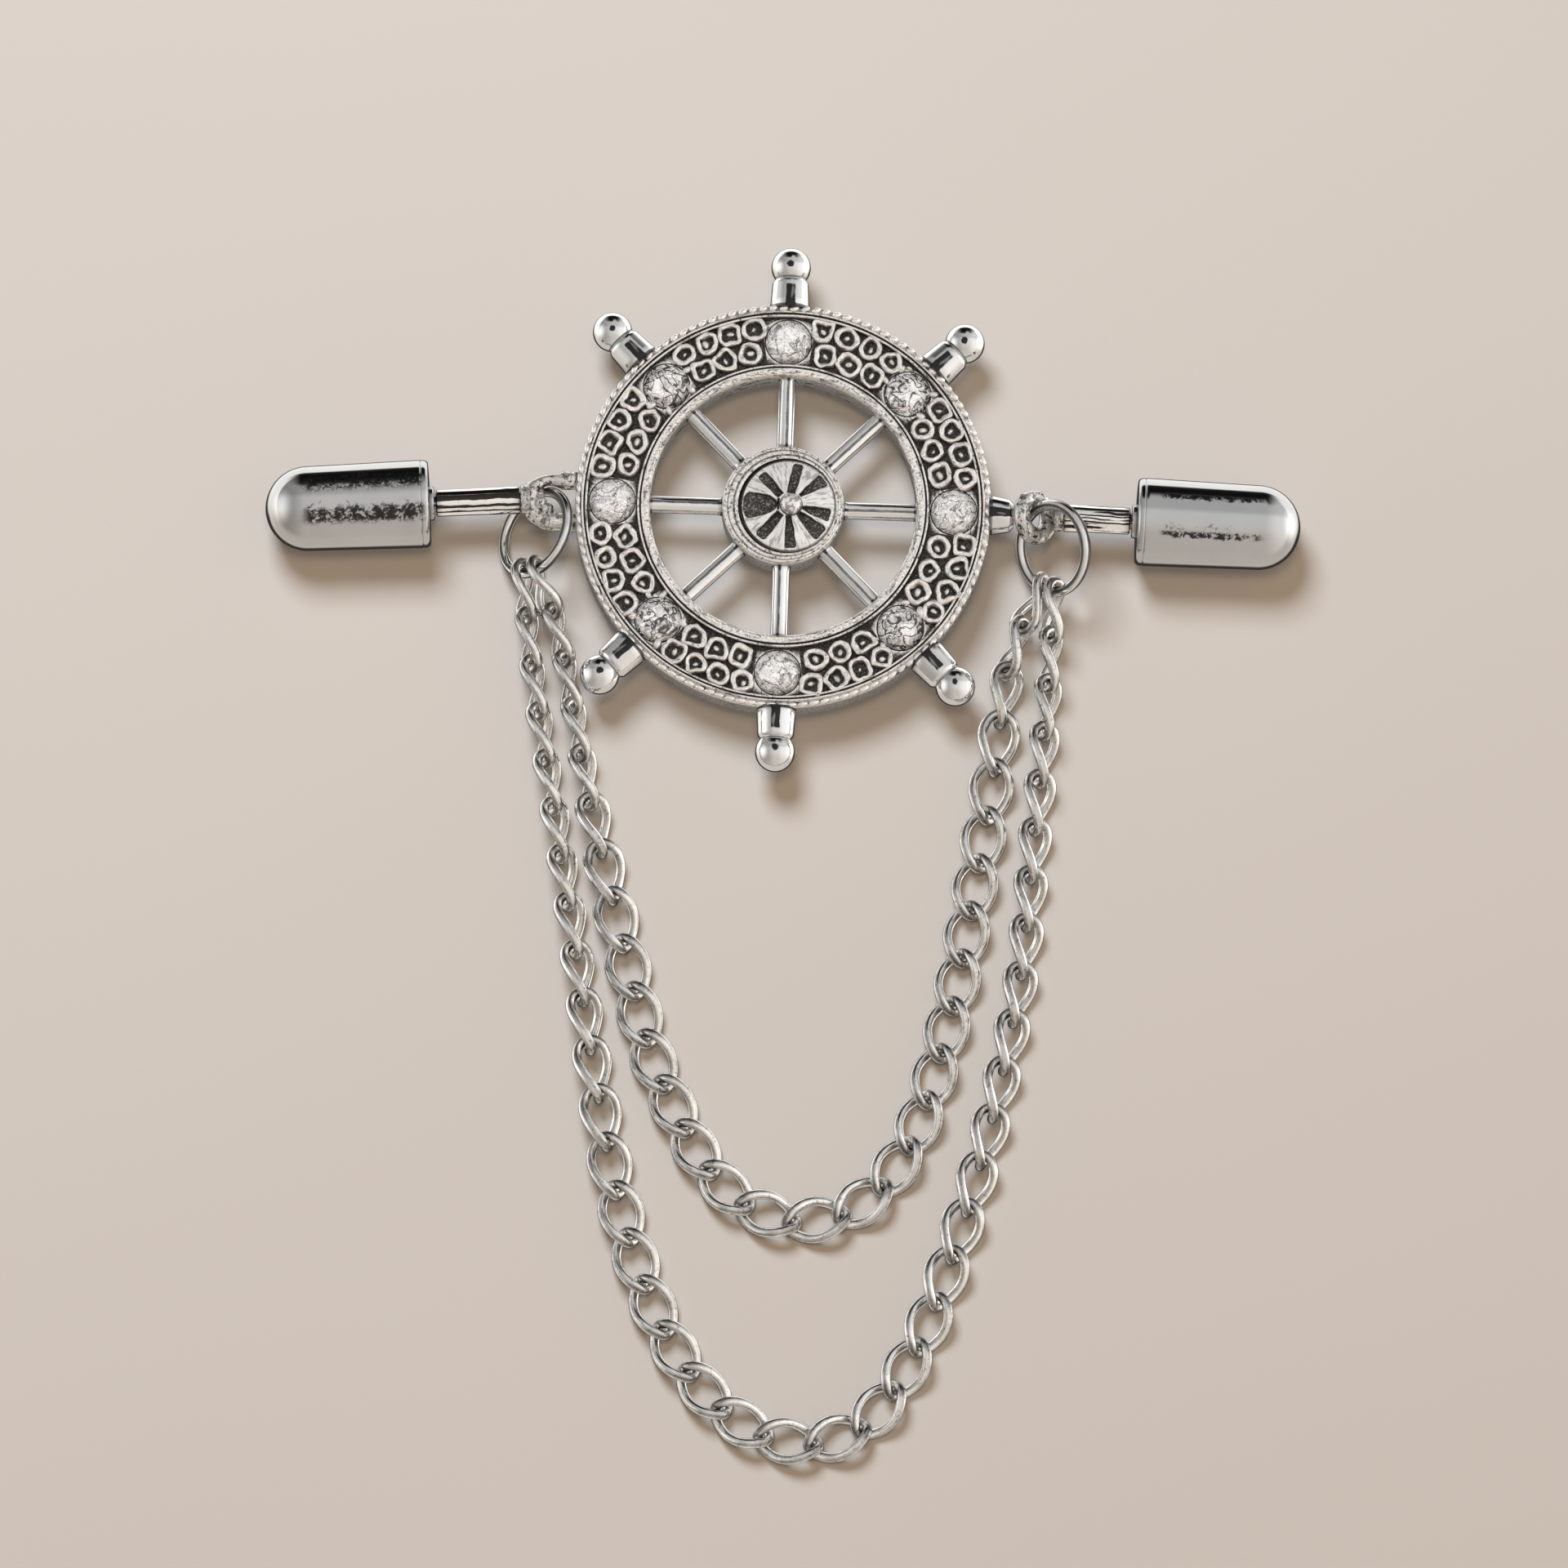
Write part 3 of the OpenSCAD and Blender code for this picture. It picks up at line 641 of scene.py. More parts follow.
def buildHub():
    radius, top, recess = hub["radius"], hub["top"], hub["recess"]
    floor = top - hub["recessDepth"]
    # Radius, height, corner, dirt, share of the recess's shift
    profile = [
        (0.0, 0.0, 0, 0.3, 0), (radius - 0.1, 0.0, 0.08, 0.3, 0), (radius, 0.1, 0.08, 0.2, 0),
        (radius, top - 0.25, 0.14, 0.2, 0), (radius - 0.12, top - 0.03, 0.09, 0.0, 0),
        (radius - 0.24, top - 0.01, 0.05, 0.1, 0.1), (radius - 0.27, top - 0.06, 0.03, 0.45, 0.2),
        (radius - 0.31, top - 0.06, 0.03, 0.45, 0.3), (radius - 0.34, top, 0.05, 0.0, 0.4),
        (radius - 0.5, top, 0.05, 0.0, 0.6), (radius - 0.53, top - 0.08, 0.03, 0.6, 0.7),
        (radius - 0.57, top - 0.08, 0.03, 0.6, 0.8), (radius - 0.6, top - 0.01, 0.04, 0.0, 0.9),
        (recess + 0.06, top - 0.04, 0.04, 0.1, 1.0), (recess + 0.04, floor, 0.03, 1.0, 1.0),
        (0.0, floor, 0, 1.0, 1.0),
    ]
    rings, dirtAndShade = [], []
    for size, height, level, share in soften(profile):
        rings.append(circle(size, height, 200, (hub["shift"][0] * share, hub["shift"][1] * share)))
        dirtAndShade.append(level)
    return Shell().addRings(rings, dirtAndShade).build("wheel_hub", 60)


settle(buildHub(), hubFinish)


# Spokes, a little wider where they meet the hub and the rim

spoke = {"radius": 0.525, "start": 3.35, "middle": 5.9, "end": 8.45}
# The spokes carry a painted dark reflection streak on top and painted shade on their flanks
spokeFinish = polishedFinish("bright spoke silver", {
    "bright": (0.9, 0.9, 0.89), "dull": (0.76, 0.76, 0.76), "dark": (0.05, 0.05, 0.05),
    "lineStretch": 0.12, "lineScale": 3.5, "pits": 0.5, "smooth": 0.07, "relief": 0.18,
    "paintedReflectionAt": 99.0, "paintedReflectionHalf": 15.0, "paintedReflectionSoft": 0.35, "paintedReflectionDepth": 1.0, "paintedReflectionTo": 9.0,
    "paintedFlankShade": 0.5})


def spokeShape():
    radius, start, end = spoke["radius"], spoke["start"], spoke["end"]
    profile = [
        (0.0, start, 0, 0.5), (radius + 0.07, start, 0, 0.7), (radius + 0.07, start + 0.42, 0, 0.6),
        (radius + 0.01, start + 0.56, 0.1, 0.2), (radius, start + 0.7, 0, 0.0),
        (radius, start + 1.6, 0, 0.0), (radius, spoke["middle"], 0, 0.0), (radius, end - 1.2, 0, 0.0),
        (radius, end - 0.46, 0, 0.0), (radius + 0.02, end - 0.34, 0.05, 0.5),
        (radius + 0.06, end - 0.28, 0, 0.7), (radius + 0.06, end, 0, 0.7), (0.0, end, 0, 0.5),
    ]
    return Shell().addTurned(profile, 48, True).build("spoke shape", 50)


setCopies("wheel_spokes", spokeShape(), aroundAxis(range(8)), spokeFinish, (0.012, 0.8, 2.0))


# Handles: sleeve, rounded shoulder, waist and knob; the left and right ones are the eyes

handle = {"sleeve": 1.22, "waist": 0.98, "knob": 1.216, "start": 12.62, "shoulder": 14.21,
          "corner": 0.35, "knobAt": 15.36, "sectors": (1, 2, 3, 5, 6, 7)}
# The handles carry a painted dark reflection streak, painted shade on their flanks and a painted dark dot
# on the knob
handleFinish = polishedFinish("bright handle silver", {
    "bright": (0.84, 0.84, 0.84), "dull": (0.66, 0.66, 0.66), "dark": (0.04, 0.04, 0.04),
    "lineStretch": 0.2, "lineScale": 2.0, "pits": 0.45, "smooth": 0.045, "relief": 0.12,
    "paintedReflectionAt": 92.0, "paintedReflectionHalf": 17.0, "paintedReflectionSoft": 0.6, "paintedReflectionDepth": 1.9, "paintedReflectionTo": 14.15,
    "paintedFlankShade": 1.19, "paintedDotAt": 15.3})


def handleShape():
    sleeve, waist, knob, corner = handle["sleeve"], handle["waist"], handle["knob"], handle["corner"]
    start, shoulder, at = handle["start"], handle["shoulder"], handle["knobAt"]
    profile = [
        (0.0, start, 0, 0.3), (sleeve - 0.02, start, 0, 0.9), (sleeve - 0.02, start + 0.16, 0, 0.8),
        (sleeve, start + 0.22, 0, 0.1), (sleeve - 0.03, start + 0.58, 0, 0.0),
        (sleeve - 0.1, shoulder, 0, 0.0),
    ]
    for step in range(1, 9):
        angle = radians(11.25 * step)
        radius = sleeve - 0.1 - corner + corner * cos(angle)
        if radius > waist - 0.03:
            profile.append((radius, shoulder + corner * sin(angle), 0, 0.0 if step < 6 else 0.4))
    join = sqrt(knob * knob - waist * waist)
    profile += [(waist - 0.02, shoulder + 0.34, 0, 0.75), (waist - 0.02, at - join, 0, 0.7)]
    first = asin(waist / knob)
    for step in range(25):
        angle = (pi - first) * (1 - step / 24)
        profile.append((knob * sin(angle), at + knob * cos(angle), 0, 0.35 if step == 0 else 0.0))
    return Shell().addTurned(profile, 72, True).build("handle shape", 40)


setCopies("wheel_handles", handleShape(), aroundAxis(handle["sectors"]), handleFinish,
          (0.012, 0.6, 6.0))


# Rosette: a frosted dome with dark slots of different shapes, and a ball

rosette = {
    "radius": 2.9, "base": 1.9, "edge": 2.35, "dome": 0.45, "slotFloor": 2.275,
    "shift": (0.3, -0.1), "ballAt": (0.48, -0.11, 2.638), "ball": 0.73, "flatAt": 0.62,
    # Turn, start and end from the middle, half width at the start and at the end
    "slots": ((39, 1.05, 2.76, 0.1, 0.42), (78, 0.85, 2.7, 0.24, 0.33),
              (131, 0.85, 2.55, 0.22, 0.32), (181, 0.66, 2.74, 0.34, 0.92),
              (231, 0.85, 2.64, 0.24, 0.36), (275, 0.85, 2.68, 0.17, 0.36),
              (320, 0.8, 2.72, 0.12, 0.52), (348, 0.95, 2.62, 0.1, 0.42)),
    "rings": 84, "sides": 420,
}


def slotDistance(x, y):
    # How far a point lies inside the nearest slot, negative outside
    best = -1.0
    for at, start, end, thin, wide in rosette["slots"]:
        c, s = cos(radians(at)), sin(radians(at))
        along, across = x * c + y * s, abs(y * c - x * s)
        half = thin + (wide - thin) * clamp((along - start) / (end - start)) ** 0.7
        side = half - across
        tip = min(along - start + 0.12, end - along)
        inside = min(side, tip)
        corner = min(0.2, half * 0.8) if wide < 0.6 else 0.62
        if side < corner and tip < corner and along > start:
            inside = corner - hypot(corner - side, corner - tip)
        best = max(best, inside + 0.045 * ripple(x * 2.6, y * 2.6, at * 0.1))
    return best


def domePoint(x, y, size):
    # Height and dirt of the dome at a point
    radius, dome = rosette["radius"], rosette["dome"]
    sphere = (radius * radius + dome * dome) / (2 * dome)
    top = sqrt(sphere * sphere - x * x - y * y) - sphere + rosette["edge"] + dome
    top -= 0.16 * max(0.0, (size - 2.74) / 0.15) ** 2
    petal = top + 0.018 * ripple(atan2(y, x) * 9, size * 0.5, 1.0) * min(1.0, size)
    grains = 0.05 * ripple(x * 7.0, y * 7.0, 3.0) + 0.025 * ripple(x * 15.0, y * 15.0, 9.0)
    inside = slotDistance(x, y)
    sink = clamp((inside + 0.03) / 0.1)
    sink = sink * sink * (3 - 2 * sink)
    groove = clamp((size - 2.78) / 0.06) * (0.6 - 0.4 * x / size)
    height = petal + (min(petal, rosette["slotFloor"] + grains) - petal) * sink
    return height, max(groove, clamp((inside + 0.05) / 0.09))


def buildRosette():
    radius, base, sides, shift = (rosette[key] for key in ("radius", "base", "sides", "shift"))
    rings = [circle(0.0, base, sides, shift), circle(radius, base, sides, shift),
             circle(radius, rosette["edge"] - 0.05, sides, shift)]
    dirtAndShade = [0.9, 0.9, 0.7]
    for index in range(rosette["rings"]):
        size = (radius - 0.02) * (1 - index / rosette["rings"]) if index else radius - 0.015
        ring, levels = [], []
        for x, y, z in circle(size, 0.0, sides):
            height, level = domePoint(x, y, size)
            ring.append((x + shift[0], y + shift[1], height))
            levels.append(level)
        rings.append(ring)
        dirtAndShade.append(tuple(levels))
    rings.append(circle(0.0, rosette["edge"] + rosette["dome"], sides, shift))
    shell = Shell().addRings(rings, dirtAndShade + [0.2])
    rings, dirtAndShade = [], []
    for step in range(33):
        # The ball is worn flat on top
        level = -cos(pi * step / 32) * rosette["ball"]
        sunk = 0.06 * max(0.0, level - rosette["flatAt"]) / 0.11
        rings.append(circle(rosette["ball"] * sin(pi * step / 32), level - sunk, 64))
        dirtAndShade.append(0.1 if level > 0.3 else 0.75)
    shell.addRings(rings, dirtAndShade, Matrix.Translation(rosette["ballAt"]))
    return shell.build("rosette_dome", 180)


def rosetteFinish():
    finish = Finish("frosted silver with dark slots", {})
    x, y, z = finish.parts(finish.place)
    x, y = x - rosette["shift"][0], y - rosette["shift"][1]
    reach = finish.length(x, y)
    rays = finish.grain(finish.vector(y.maths("ARCTAN2", x) * 5.0, reach * 0.5, 0.0), 2.2, 4.0, 0.65)
    frost = finish.grain(finish.place, 9.0, 4.0, 0.7)
    cloud = finish.grain(finish.place, 1.6, 3.0, 0.5)
    ball = finish.ramp(z, 2.86, 2.95)
    dark = (finish.dirtAndShade * 1.6 - 0.2 + (frost - 0.5) * 0.7).clamped()
    spots = finish.ramp(frost, 0.53, 0.6) * 0.8 * finish.ramp(finish.dirtAndShade, 0.4, 0.8)
    dents = ball * finish.ramp(finish.grain(finish.place, 3.6, 3.0, 0.6), 0.49, 0.55, 0.0, 0.75)
    scratches = finish.ramp(rays, 0.39, 0.5, 0.6, 0.0) * (1 - ball)
    petal = finish.blend(cloud * 1.6 - 0.4, (0.94, 0.96, 0.98), (0.7, 0.71, 0.72))
    petal = finish.blend((scratches + dents).clamped(), petal, (0.2, 0.19, 0.18))
    floor = finish.blend(spots, (0.085, 0.08, 0.075), (0.5, 0.48, 0.46))
    finish.drive("Metallic", 0.7 + dark * 0.25)
    rough = 0.45 + (rays - 0.5) * 0.3 + dark * 0.15 - ball * 0.2
    return finish.done(finish.blend(dark, petal, floor), rough, frost * 0.6 + rays * 0.4, 0.8, 0.03)


settle(buildRosette(), rosetteFinish(), ["rosette"], "frosted_metal")


# Stones: round brilliants, foiled and crazed, the diagonal ones broken into lumps

stone = {"radius": 1.42, "girdle": 0.08, "crown": 0.5, "table": 0.85, "star": 1.195,
         "pavilion": 1.0, "height": 1.7}


def stoneShape():
    radius, girdle = stone["radius"], stone["girdle"]

    def corners(count, size, height, off):
        return [(size * cos((k + off) * 2 * pi / count), size * sin((k + off) * 2 * pi / count), height)
                for k in range(count)]

    points = corners(8, stone["table"], stone["crown"], 0)
    points += corners(8, stone["star"], 0.55 * stone["crown"], 0.5)
    points += corners(16, radius, 0, 0) + corners(16, radius, -girdle, 0)
    points += corners(8, radius * 0.55, -girdle - 0.5 * stone["pavilion"], 0.5)
    points.append((0, 0, -girdle - stone["pavilion"]))
    work = bmesh.new()
    for point in points:
        work.verts.new(point)
    bmesh.ops.convex_hull(work, input=work.verts)
    loose = [vert for vert in work.verts if not vert.link_faces]
    bmesh.ops.delete(work, geom=loose, context="VERTS")
    bmesh.ops.dissolve_limit(work, angle_limit=radians(1), verts=work.verts, edges=work.edges)
    mesh = bpy.data.meshes.new("stone shape")
    work.to_mesh(mesh)
    work.free()
    shell = Shell()
    shell.points = [vert.co.copy() for vert in mesh.vertices]
    shell.local = list(shell.points)
    shell.dirtAndShade = [0.0] * len(shell.points)
    shell.faces = [list(face.vertices) for face in mesh.polygons]
    return shell.build("stone shape", 3)


def crystalFinish():
    finish = Finish("foiled crystal", {
        "IOR": 1.6, "Coat Weight": 0.4, "Coat Roughness": 0.08, "Coat IOR": 1.6})
    x, y, z = finish.parts(finish.local)
    copy = finish.attribute("copy")
    reach = finish.length(x, y)
    angle = y.maths("ARCTAN2", x)
    own = finish.vector(x + copy * 7.3, y + copy * 3.1, z)
    # Worn and foiled stones look like lumps of frost between dark creases
    diagonal = (copy * (pi / 2)).maths("SINE").absolute()
    lumps = finish.grain(own, 0.95, 3.0, 0.55, 0.5)
    small = finish.grain(own, 2.3, 3.0, 0.6, 0.3)
    waves = finish.grain(own, 1.15, 2.0, 0.5, 1.1)
    mottle = finish.grain(own, 8.0, 4.0, 0.75)
    creases = finish.band(lumps, 0.5, 0.0, 0.04 + diagonal * 0.02)
    folds = finish.band(small, 0.5, 0.0, 0.04)
    furrows = finish.band(waves, 0.5, 0.005, 0.06) * diagonal
    hollows = finish.fade(lumps, 0.36 + diagonal * 0.03, 0.44 + diagonal * 0.03)
    fleck = finish.fade(mottle, 0.36, 0.45)
    # Painted reflection: facets lighter and darker by turn round the stone's middle
    paintedFacetSheen = (angle * 9.0 + (small - 0.5) * 6.0).maths("SINE") * finish.ramp(reach, 0.15, 0.6) * 0.12
    tone = (0.82 + diagonal * 0.22 + (small - 0.5) * 0.9 + (mottle - 0.5) * 1.3 + paintedFacetSheen).clamped()
    dark = (creases * (0.65 - diagonal * 0.25) + folds * (0.38 - diagonal * 0.2) + furrows * 0.85
            + fleck * (0.5 - diagonal * 0.2) + hollows * (0.35 + diagonal * 0.15)).clamped()
    edge = finish.ramp(reach, stone["radius"] - 0.05, stone["radius"], 0.0, 0.7)
    colour = finish.blend(tone, (0.38, 0.39, 0.4), (0.92, 0.96, 1.0))
    colour = finish.blend((dark + edge).clamped(), colour, (0.05, 0.048, 0.045))
    finish.drive("Metallic", 0.25 + tone * 0.2)
    height = lumps * 0.6 + small * 0.3 + mottle * 0.1 - creases * 0.15 - furrows * 0.3
    return finish.done(colour, (0.28 + (mottle - 0.5) * 0.4).clamped(), height, 1.0, 0.12)


stoneSpots = [((stoneCircle * cos(angle), stoneCircle * sin(angle), stone["height"]),
               (0.0, 0.0, angle), plainSize) for angle in (radians(45 * k) for k in range(8))]
setCopies("rim_stones", stoneShape(), stoneSpots, crystalFinish(), (0.0, 1.0, 0.0), 3,
          nodes=["stone_%d" % (k + 1) for k in range(8)], slotName="crystal")


# Where the pins stand in the eyes, and where the jump rings hang in them

pin = {"seat": 0.825, "root": 0.86, "seatLength": 2.4, "needle": 0.5, "length": 7.2, "point": 2.0,
       "stem": {"left": 5.2, "right": 4.1}}
pinPlace = {
    "left": Matrix.Translation((-16.10, 0, axisHeight)) @ turn(184.4),
    "right": Matrix.Translation((17.20, 0, axisHeight)) @ turn(-1),
}
jumpRing = {
    "radius": 2.675, "wire": 0.324,
    "left": {"at": (-15.12, -1.9, 0.78), "swing": 43.2, "tip": -9},
    "right": {"at": (16.60, -2.06, 1.70), "swing": 45.4, "tip": 15},
}
ringPlace = {side: Matrix.Translation(jumpRing[side]["at"]) @ turn(-jumpRing[side]["swing"], "Y")
             @ turn(jumpRing[side]["tip"], "X") for side in ("left", "right")}
ringFinish = polishedFinish("bright ring silver", {
    "bright": (0.9, 0.9, 0.89), "dull": (0.7, 0.7, 0.69), "dark": (0.1, 0.095, 0.09),
    "lineStretch": 1.0, "lineScale": 1.6, "pits": 0.3, "smooth": 0.05, "relief": 0.15})


# Eyes: a D-shaped loop on the left and a turned ring on the right, each with the pin's boss

eye = {"wire": 0.36, "thick": 0.56, "inset": 0.1, "start": 12.25, "rootEnd": 12.9,
       "leftAt": 14.35, "leftHalf": 1.42,
       "rightAt": 15.45, "rightRadius": 1.2, "bossDepth": 0.6, "boss": {"left": 0.93, "right": 0.85},
       "sleeve": 1.2, "sleeveEnd": 0.75, "sleeveTo": 14.15,
       "socket": 0.53, "socketDepth": 0.4, "join": 0.45, "joins": ((14.402, 0.749), (16.449, -0.749)),
       "folds": ((-14.98, 0.38, 1.42, 0.36), (-14.88, -0.2, 1.46, 0.42), (-14.42, -0.58, 1.4, 0.4))}
eyeFinish = castFinish(
    "cast eye silver", bright=(0.88, 0.87, 0.85), dull=(0.52, 0.51, 0.49), pitScale=3.2, pitLow=0.38,
    ragged=2.0, pits=0.8, specks=0.4, streaks=0.5, smooth=0.2, relief=1.0)


def clearSizes(line, side, thinner):
    # Cast unevenly, but no thicker than the jump ring leaves room for
    sizes = []
    for point in line:
        wanted = eye["thick"] - thinner + 0.1 * (0.5 + noise.noise(point * 0.9))
        flat = ringPlace[side].inverted() @ point
        reach = hypot(hypot(flat.x, flat.y) - jumpRing["radius"], flat.z)
        sizes.append(max(eye["wire"] - 0.01, min(wanted, reach - jumpRing["wire"] - 0.05)))
    return sizes


def addBoss(shell, side):
    # A short drum with the pin's socket, from its hidden end to its face at the pin
    depth, radius, socket, floor = eye["bossDepth"], eye["boss"][side], eye["socket"], -eye["socketDepth"]
    return shell.addTurned([
        (0.0, -depth, 0, 0.3), (radius, -depth, 0.12, 0.3), (radius, -0.12, 0.1, 0.1),
        (radius - 0.06, 0.0, 0.05, 0.5), (socket, 0.0, 0.01, 1.0), (socket, floor, 0, 1.0),
        (0.0, floor, 0, 1.0)], 64, True, pinPlace[side])


def buildLeftEye():
    half, at = eye["leftHalf"] - eye["inset"], eye["leftAt"] - eye["inset"]
    arm = at - eye["start"]
    line = [Vector((-eye["start"] - arm * step / 12, half, axisHeight)) for step in range(13)]
    for step in range(1, 48):
        angle = pi * step / 48
        line.append(Vector((-at - half * sin(angle), half * cos(angle), axisHeight)))
    line += [Vector((-at + arm * step / 12, -half, axisHeight)) for step in range(13)]
    rings = wireRings(line, clearSizes(line, "left", 0.04), 32)
    rings = [[line[0]]] + rings + [[line[-1]]]
    shell = Shell().addRings(rings, [0.35 if ring[0][0] > -eye["rootEnd"] else 0.05 for ring in rings])
    # Folds that the casting left inside the loop, beside the jump ring
    for x, y, z, size in eye["folds"]:
        shell.addRings(ballRings(size), 0.05, Matrix.Translation((x, y, z)))
    return addBoss(shell, "left").build("wheel_eye_left", 50)


def buildRightEye():
    middle = Vector((eye["rightAt"], 0, axisHeight))
    line = [turn(45, "Y") @ Vector(point) + middle for point in circle(eye["rightRadius"], 0.0, 72)]
    shell = Shell().addRings(wireRings(line, clearSizes(line, "right", 0.08), 32, True), 0.05, loop=True)
    for x, rise in eye["joins"]:
        shell.addRings(ballRings(eye["join"]), 0.25, Matrix.Translation((x, 0, axisHeight + rise)))
    return addBoss(shell, "right").build("wheel_eye_right", 50)


def buildRightSleeve():
    start, radius, narrow, end = handle["start"], eye["sleeve"], eye["sleeveEnd"], eye["sleeveTo"]
    return Shell().addTurned([
        (0.0, start, 0, 0.4), (radius, start, 0, 0.8), (radius, start + 0.16, 0, 0.7),
        (radius + 0.01, start + 0.26, 0, 0.1), (radius - 0.2, end - 0.25, 0.08, 0.0),
        (narrow, end, 0.06, 0.3), (0.0, end, 0, 0.6)], 72, True, Matrix.Translation((0, 0, axisHeight))
    ).build("wheel_sleeve_right", 50)


settle(buildLeftEye(), eyeFinish)
settle(buildRightEye(), eyeFinish)
settle(buildRightSleeve(), handleFinish)


# Pins: root, straight seat and needle, let into the bosses

# Each pin's painted dark reflection bands, as turn and half width in degrees
pinLooks = {"left": {"from": 4.0, "low": 0.54, "paintedReflectionBands": ((96, 15), (57, 7), (33, 5))},
            "right": {"from": 9.0, "low": 0.57, "paintedReflectionBands": ((88, 4), (116, 4))}}


def pinFinish(side):
    # Drawn wire with long painted dark reflection bands on the upper side and thin scores elsewhere
    look = pinLooks[side]
    finish = Finish(side + " pin silver", {"Metallic": 1.0})
    x, y, z = finish.parts(finish.local)
    around = z.maths("ARCTAN2", y)
    wobble = finish.grain(finish.vector(x * 0.7, around, 0.0), 1.2, 3.0)
    scored = finish.vector(x * 0.13, around * 1.3 + wobble * 0.4, look["from"])
    scores = finish.grain(scored, 1.5, 2.0, 0.5)
    dark = finish.ramp(scores, look["low"], look["low"] + 0.035)
    slow = finish.grain(finish.vector(x * 0.45, 0.0, look["from"]), 1.0, 2.0)
    wander = around * (180 / pi) + (slow - 0.5) * 16.0 + (wobble - 0.5) * 10.0
    # Painted reflection: dark bands at set turns round the pin
    for at, half in look["paintedReflectionBands"]:
        dark = dark.larger(finish.band(wander, at, half * 0.7, half))
    specks = finish.fade(finish.grain(finish.local, 7.0, 3.0), 0.3, 0.4)
    soil = (dark + specks * 0.4 + finish.dirtAndShade * 0.9).clamped()
    colour = finish.blend(soil, (0.97, 0.96, 0.94), (0.05, 0.043, 0.038))
    return finish.done(colour, 0.07 + soil * 0.2, scores, 0.25, 0.03)


def buildPin(side):
    stem, root, seat, needle = pin["stem"][side], pin["root"], pin["seat"], pin["needle"]
    seatStart = stem - 0.1 - pin["seatLength"]
    tip = stem + pin["length"]
    return Shell().addTurned([
        (0.0, -0.35, 0, 0.8), (needle, -0.35, 0, 0.8), (needle, 0.05, 0, 0.9), (root, 0.05, 0.03, 0.8),
        (root, 0.2, 0, 0.3), (root - 0.01, 0.5, 0, 0.0), (seat, seatStart, 0, 0.0),
        (seat, stem - 0.45, 0, 0.0), (seat, stem - 0.1, 0, 0.5), (seat - 0.1, stem, 0, 0.6),
        (needle, stem, 0, 0.8), (needle, stem + 0.5, 0, 0.3), (needle, tip - pin["point"], 0, 0.0),
        (0.06, tip - 0.02, 0, 0.0), (0.0, tip, 0, 0.0)], 64, True, pinPlace[side]
    ).build("pin_" + side + "_turned", 40)


for side in ("left", "right"):
    settle(buildPin(side), pinFinish(side), ["pin_" + side], "pin_metal")


# Caps: polished domed tubes with a lip, a collar and a bore for the needle

cap = {"mouth": 0.4, "radius": 2.7, "tail": 2.596, "length": 10.044, "collar": 1.05,
       "collarProud": 0.3, "bore": 0.55, "boreDepth": 7.6, "lip": 0.4}
# Each cap's painted dark reflection streaks (turn, half width, core share) and blotches, and how far along
# they reach
capLooks = {
    "left": {"from": 5.6, "to": 13.6, "streaks": ((65.0, 17.0, 0.35), (111.0, 18.0, 0.3)),
             "paintedBlotches": 80.0, "bright": (0.6, 0.6, 0.6), "dull": (0.5, 0.5, 0.5)},
    "right": {"from": 5.7, "to": 12.4, "streaks": ((118.5, 6.5, 0.35), (65.0, 7.0, 0.3)),
              "paintedBlotches": 109.0, "bright": (0.58, 0.585, 0.59), "dull": (0.5, 0.505, 0.51)},
}


def capFinish(side):
    # Chrome with two ragged painted dark reflection streaks along the upper side
    look = capLooks[side]
    finish = Finish("polished cap " + side, {"Metallic": 1.0})
    x, y, z = finish.parts(finish.local)
    around = z.maths("ARCTAN2", y) * (180 / pi)
    ragged = finish.grain(finish.local, 1.5, 6.0, 0.72, 0.6)
    crumbs = finish.grain(finish.local, 4.6, 4.0, 0.7, 0.3)
    reach = finish.ramp(x, look["from"], look["from"] + 0.5) * finish.fade(x, look["to"] - 0.8, look["to"])
    wander = around + (ragged - 0.5) * 14.0
    paintedReflectionBelt = 0.0
    for at, half, core in look["streaks"]:
        paintedReflectionBelt = finish.band(wander, at, half * core, half) + paintedReflectionBelt
    paintedReflectionBelt = paintedReflectionBelt.clamped()
    mottle = finish.fade(ragged * 0.6 + crumbs * 0.4 - paintedReflectionBelt * 0.05, 0.43, 0.51)
    # Painted reflection: scattered dark blotches over the middle painted streak
    paintedBlotches = finish.band(around + (crumbs - 0.5) * 24.0, look["paintedBlotches"], 1.0, 7.0)
    paintedBlotches = paintedBlotches * reach * finish.fade(ragged, 0.41, 0.45) * 0.55
    dark = ((paintedReflectionBelt * reach * mottle).clamped() + paintedBlotches).clamped()
    glints = paintedReflectionBelt * reach * finish.ramp(crumbs, 0.6, 0.66) * 0.5
    haze = finish.grain(finish.local, 0.5, 3.0)
    soil = (dark + finish.dirtAndShade * 0.9).clamped()
    colour = finish.blend(soil, finish.blend(haze, look["bright"], look["dull"]), (0.04, 0.04, 0.043))
    rough = (0.045 + haze * 0.05 + soil * 0.25 + glints * 0.2).clamped()
    return finish.done(colour, rough, ragged * 0.5 + crumbs * 0.5, paintedReflectionBelt * reach * 0.3, 0.02)


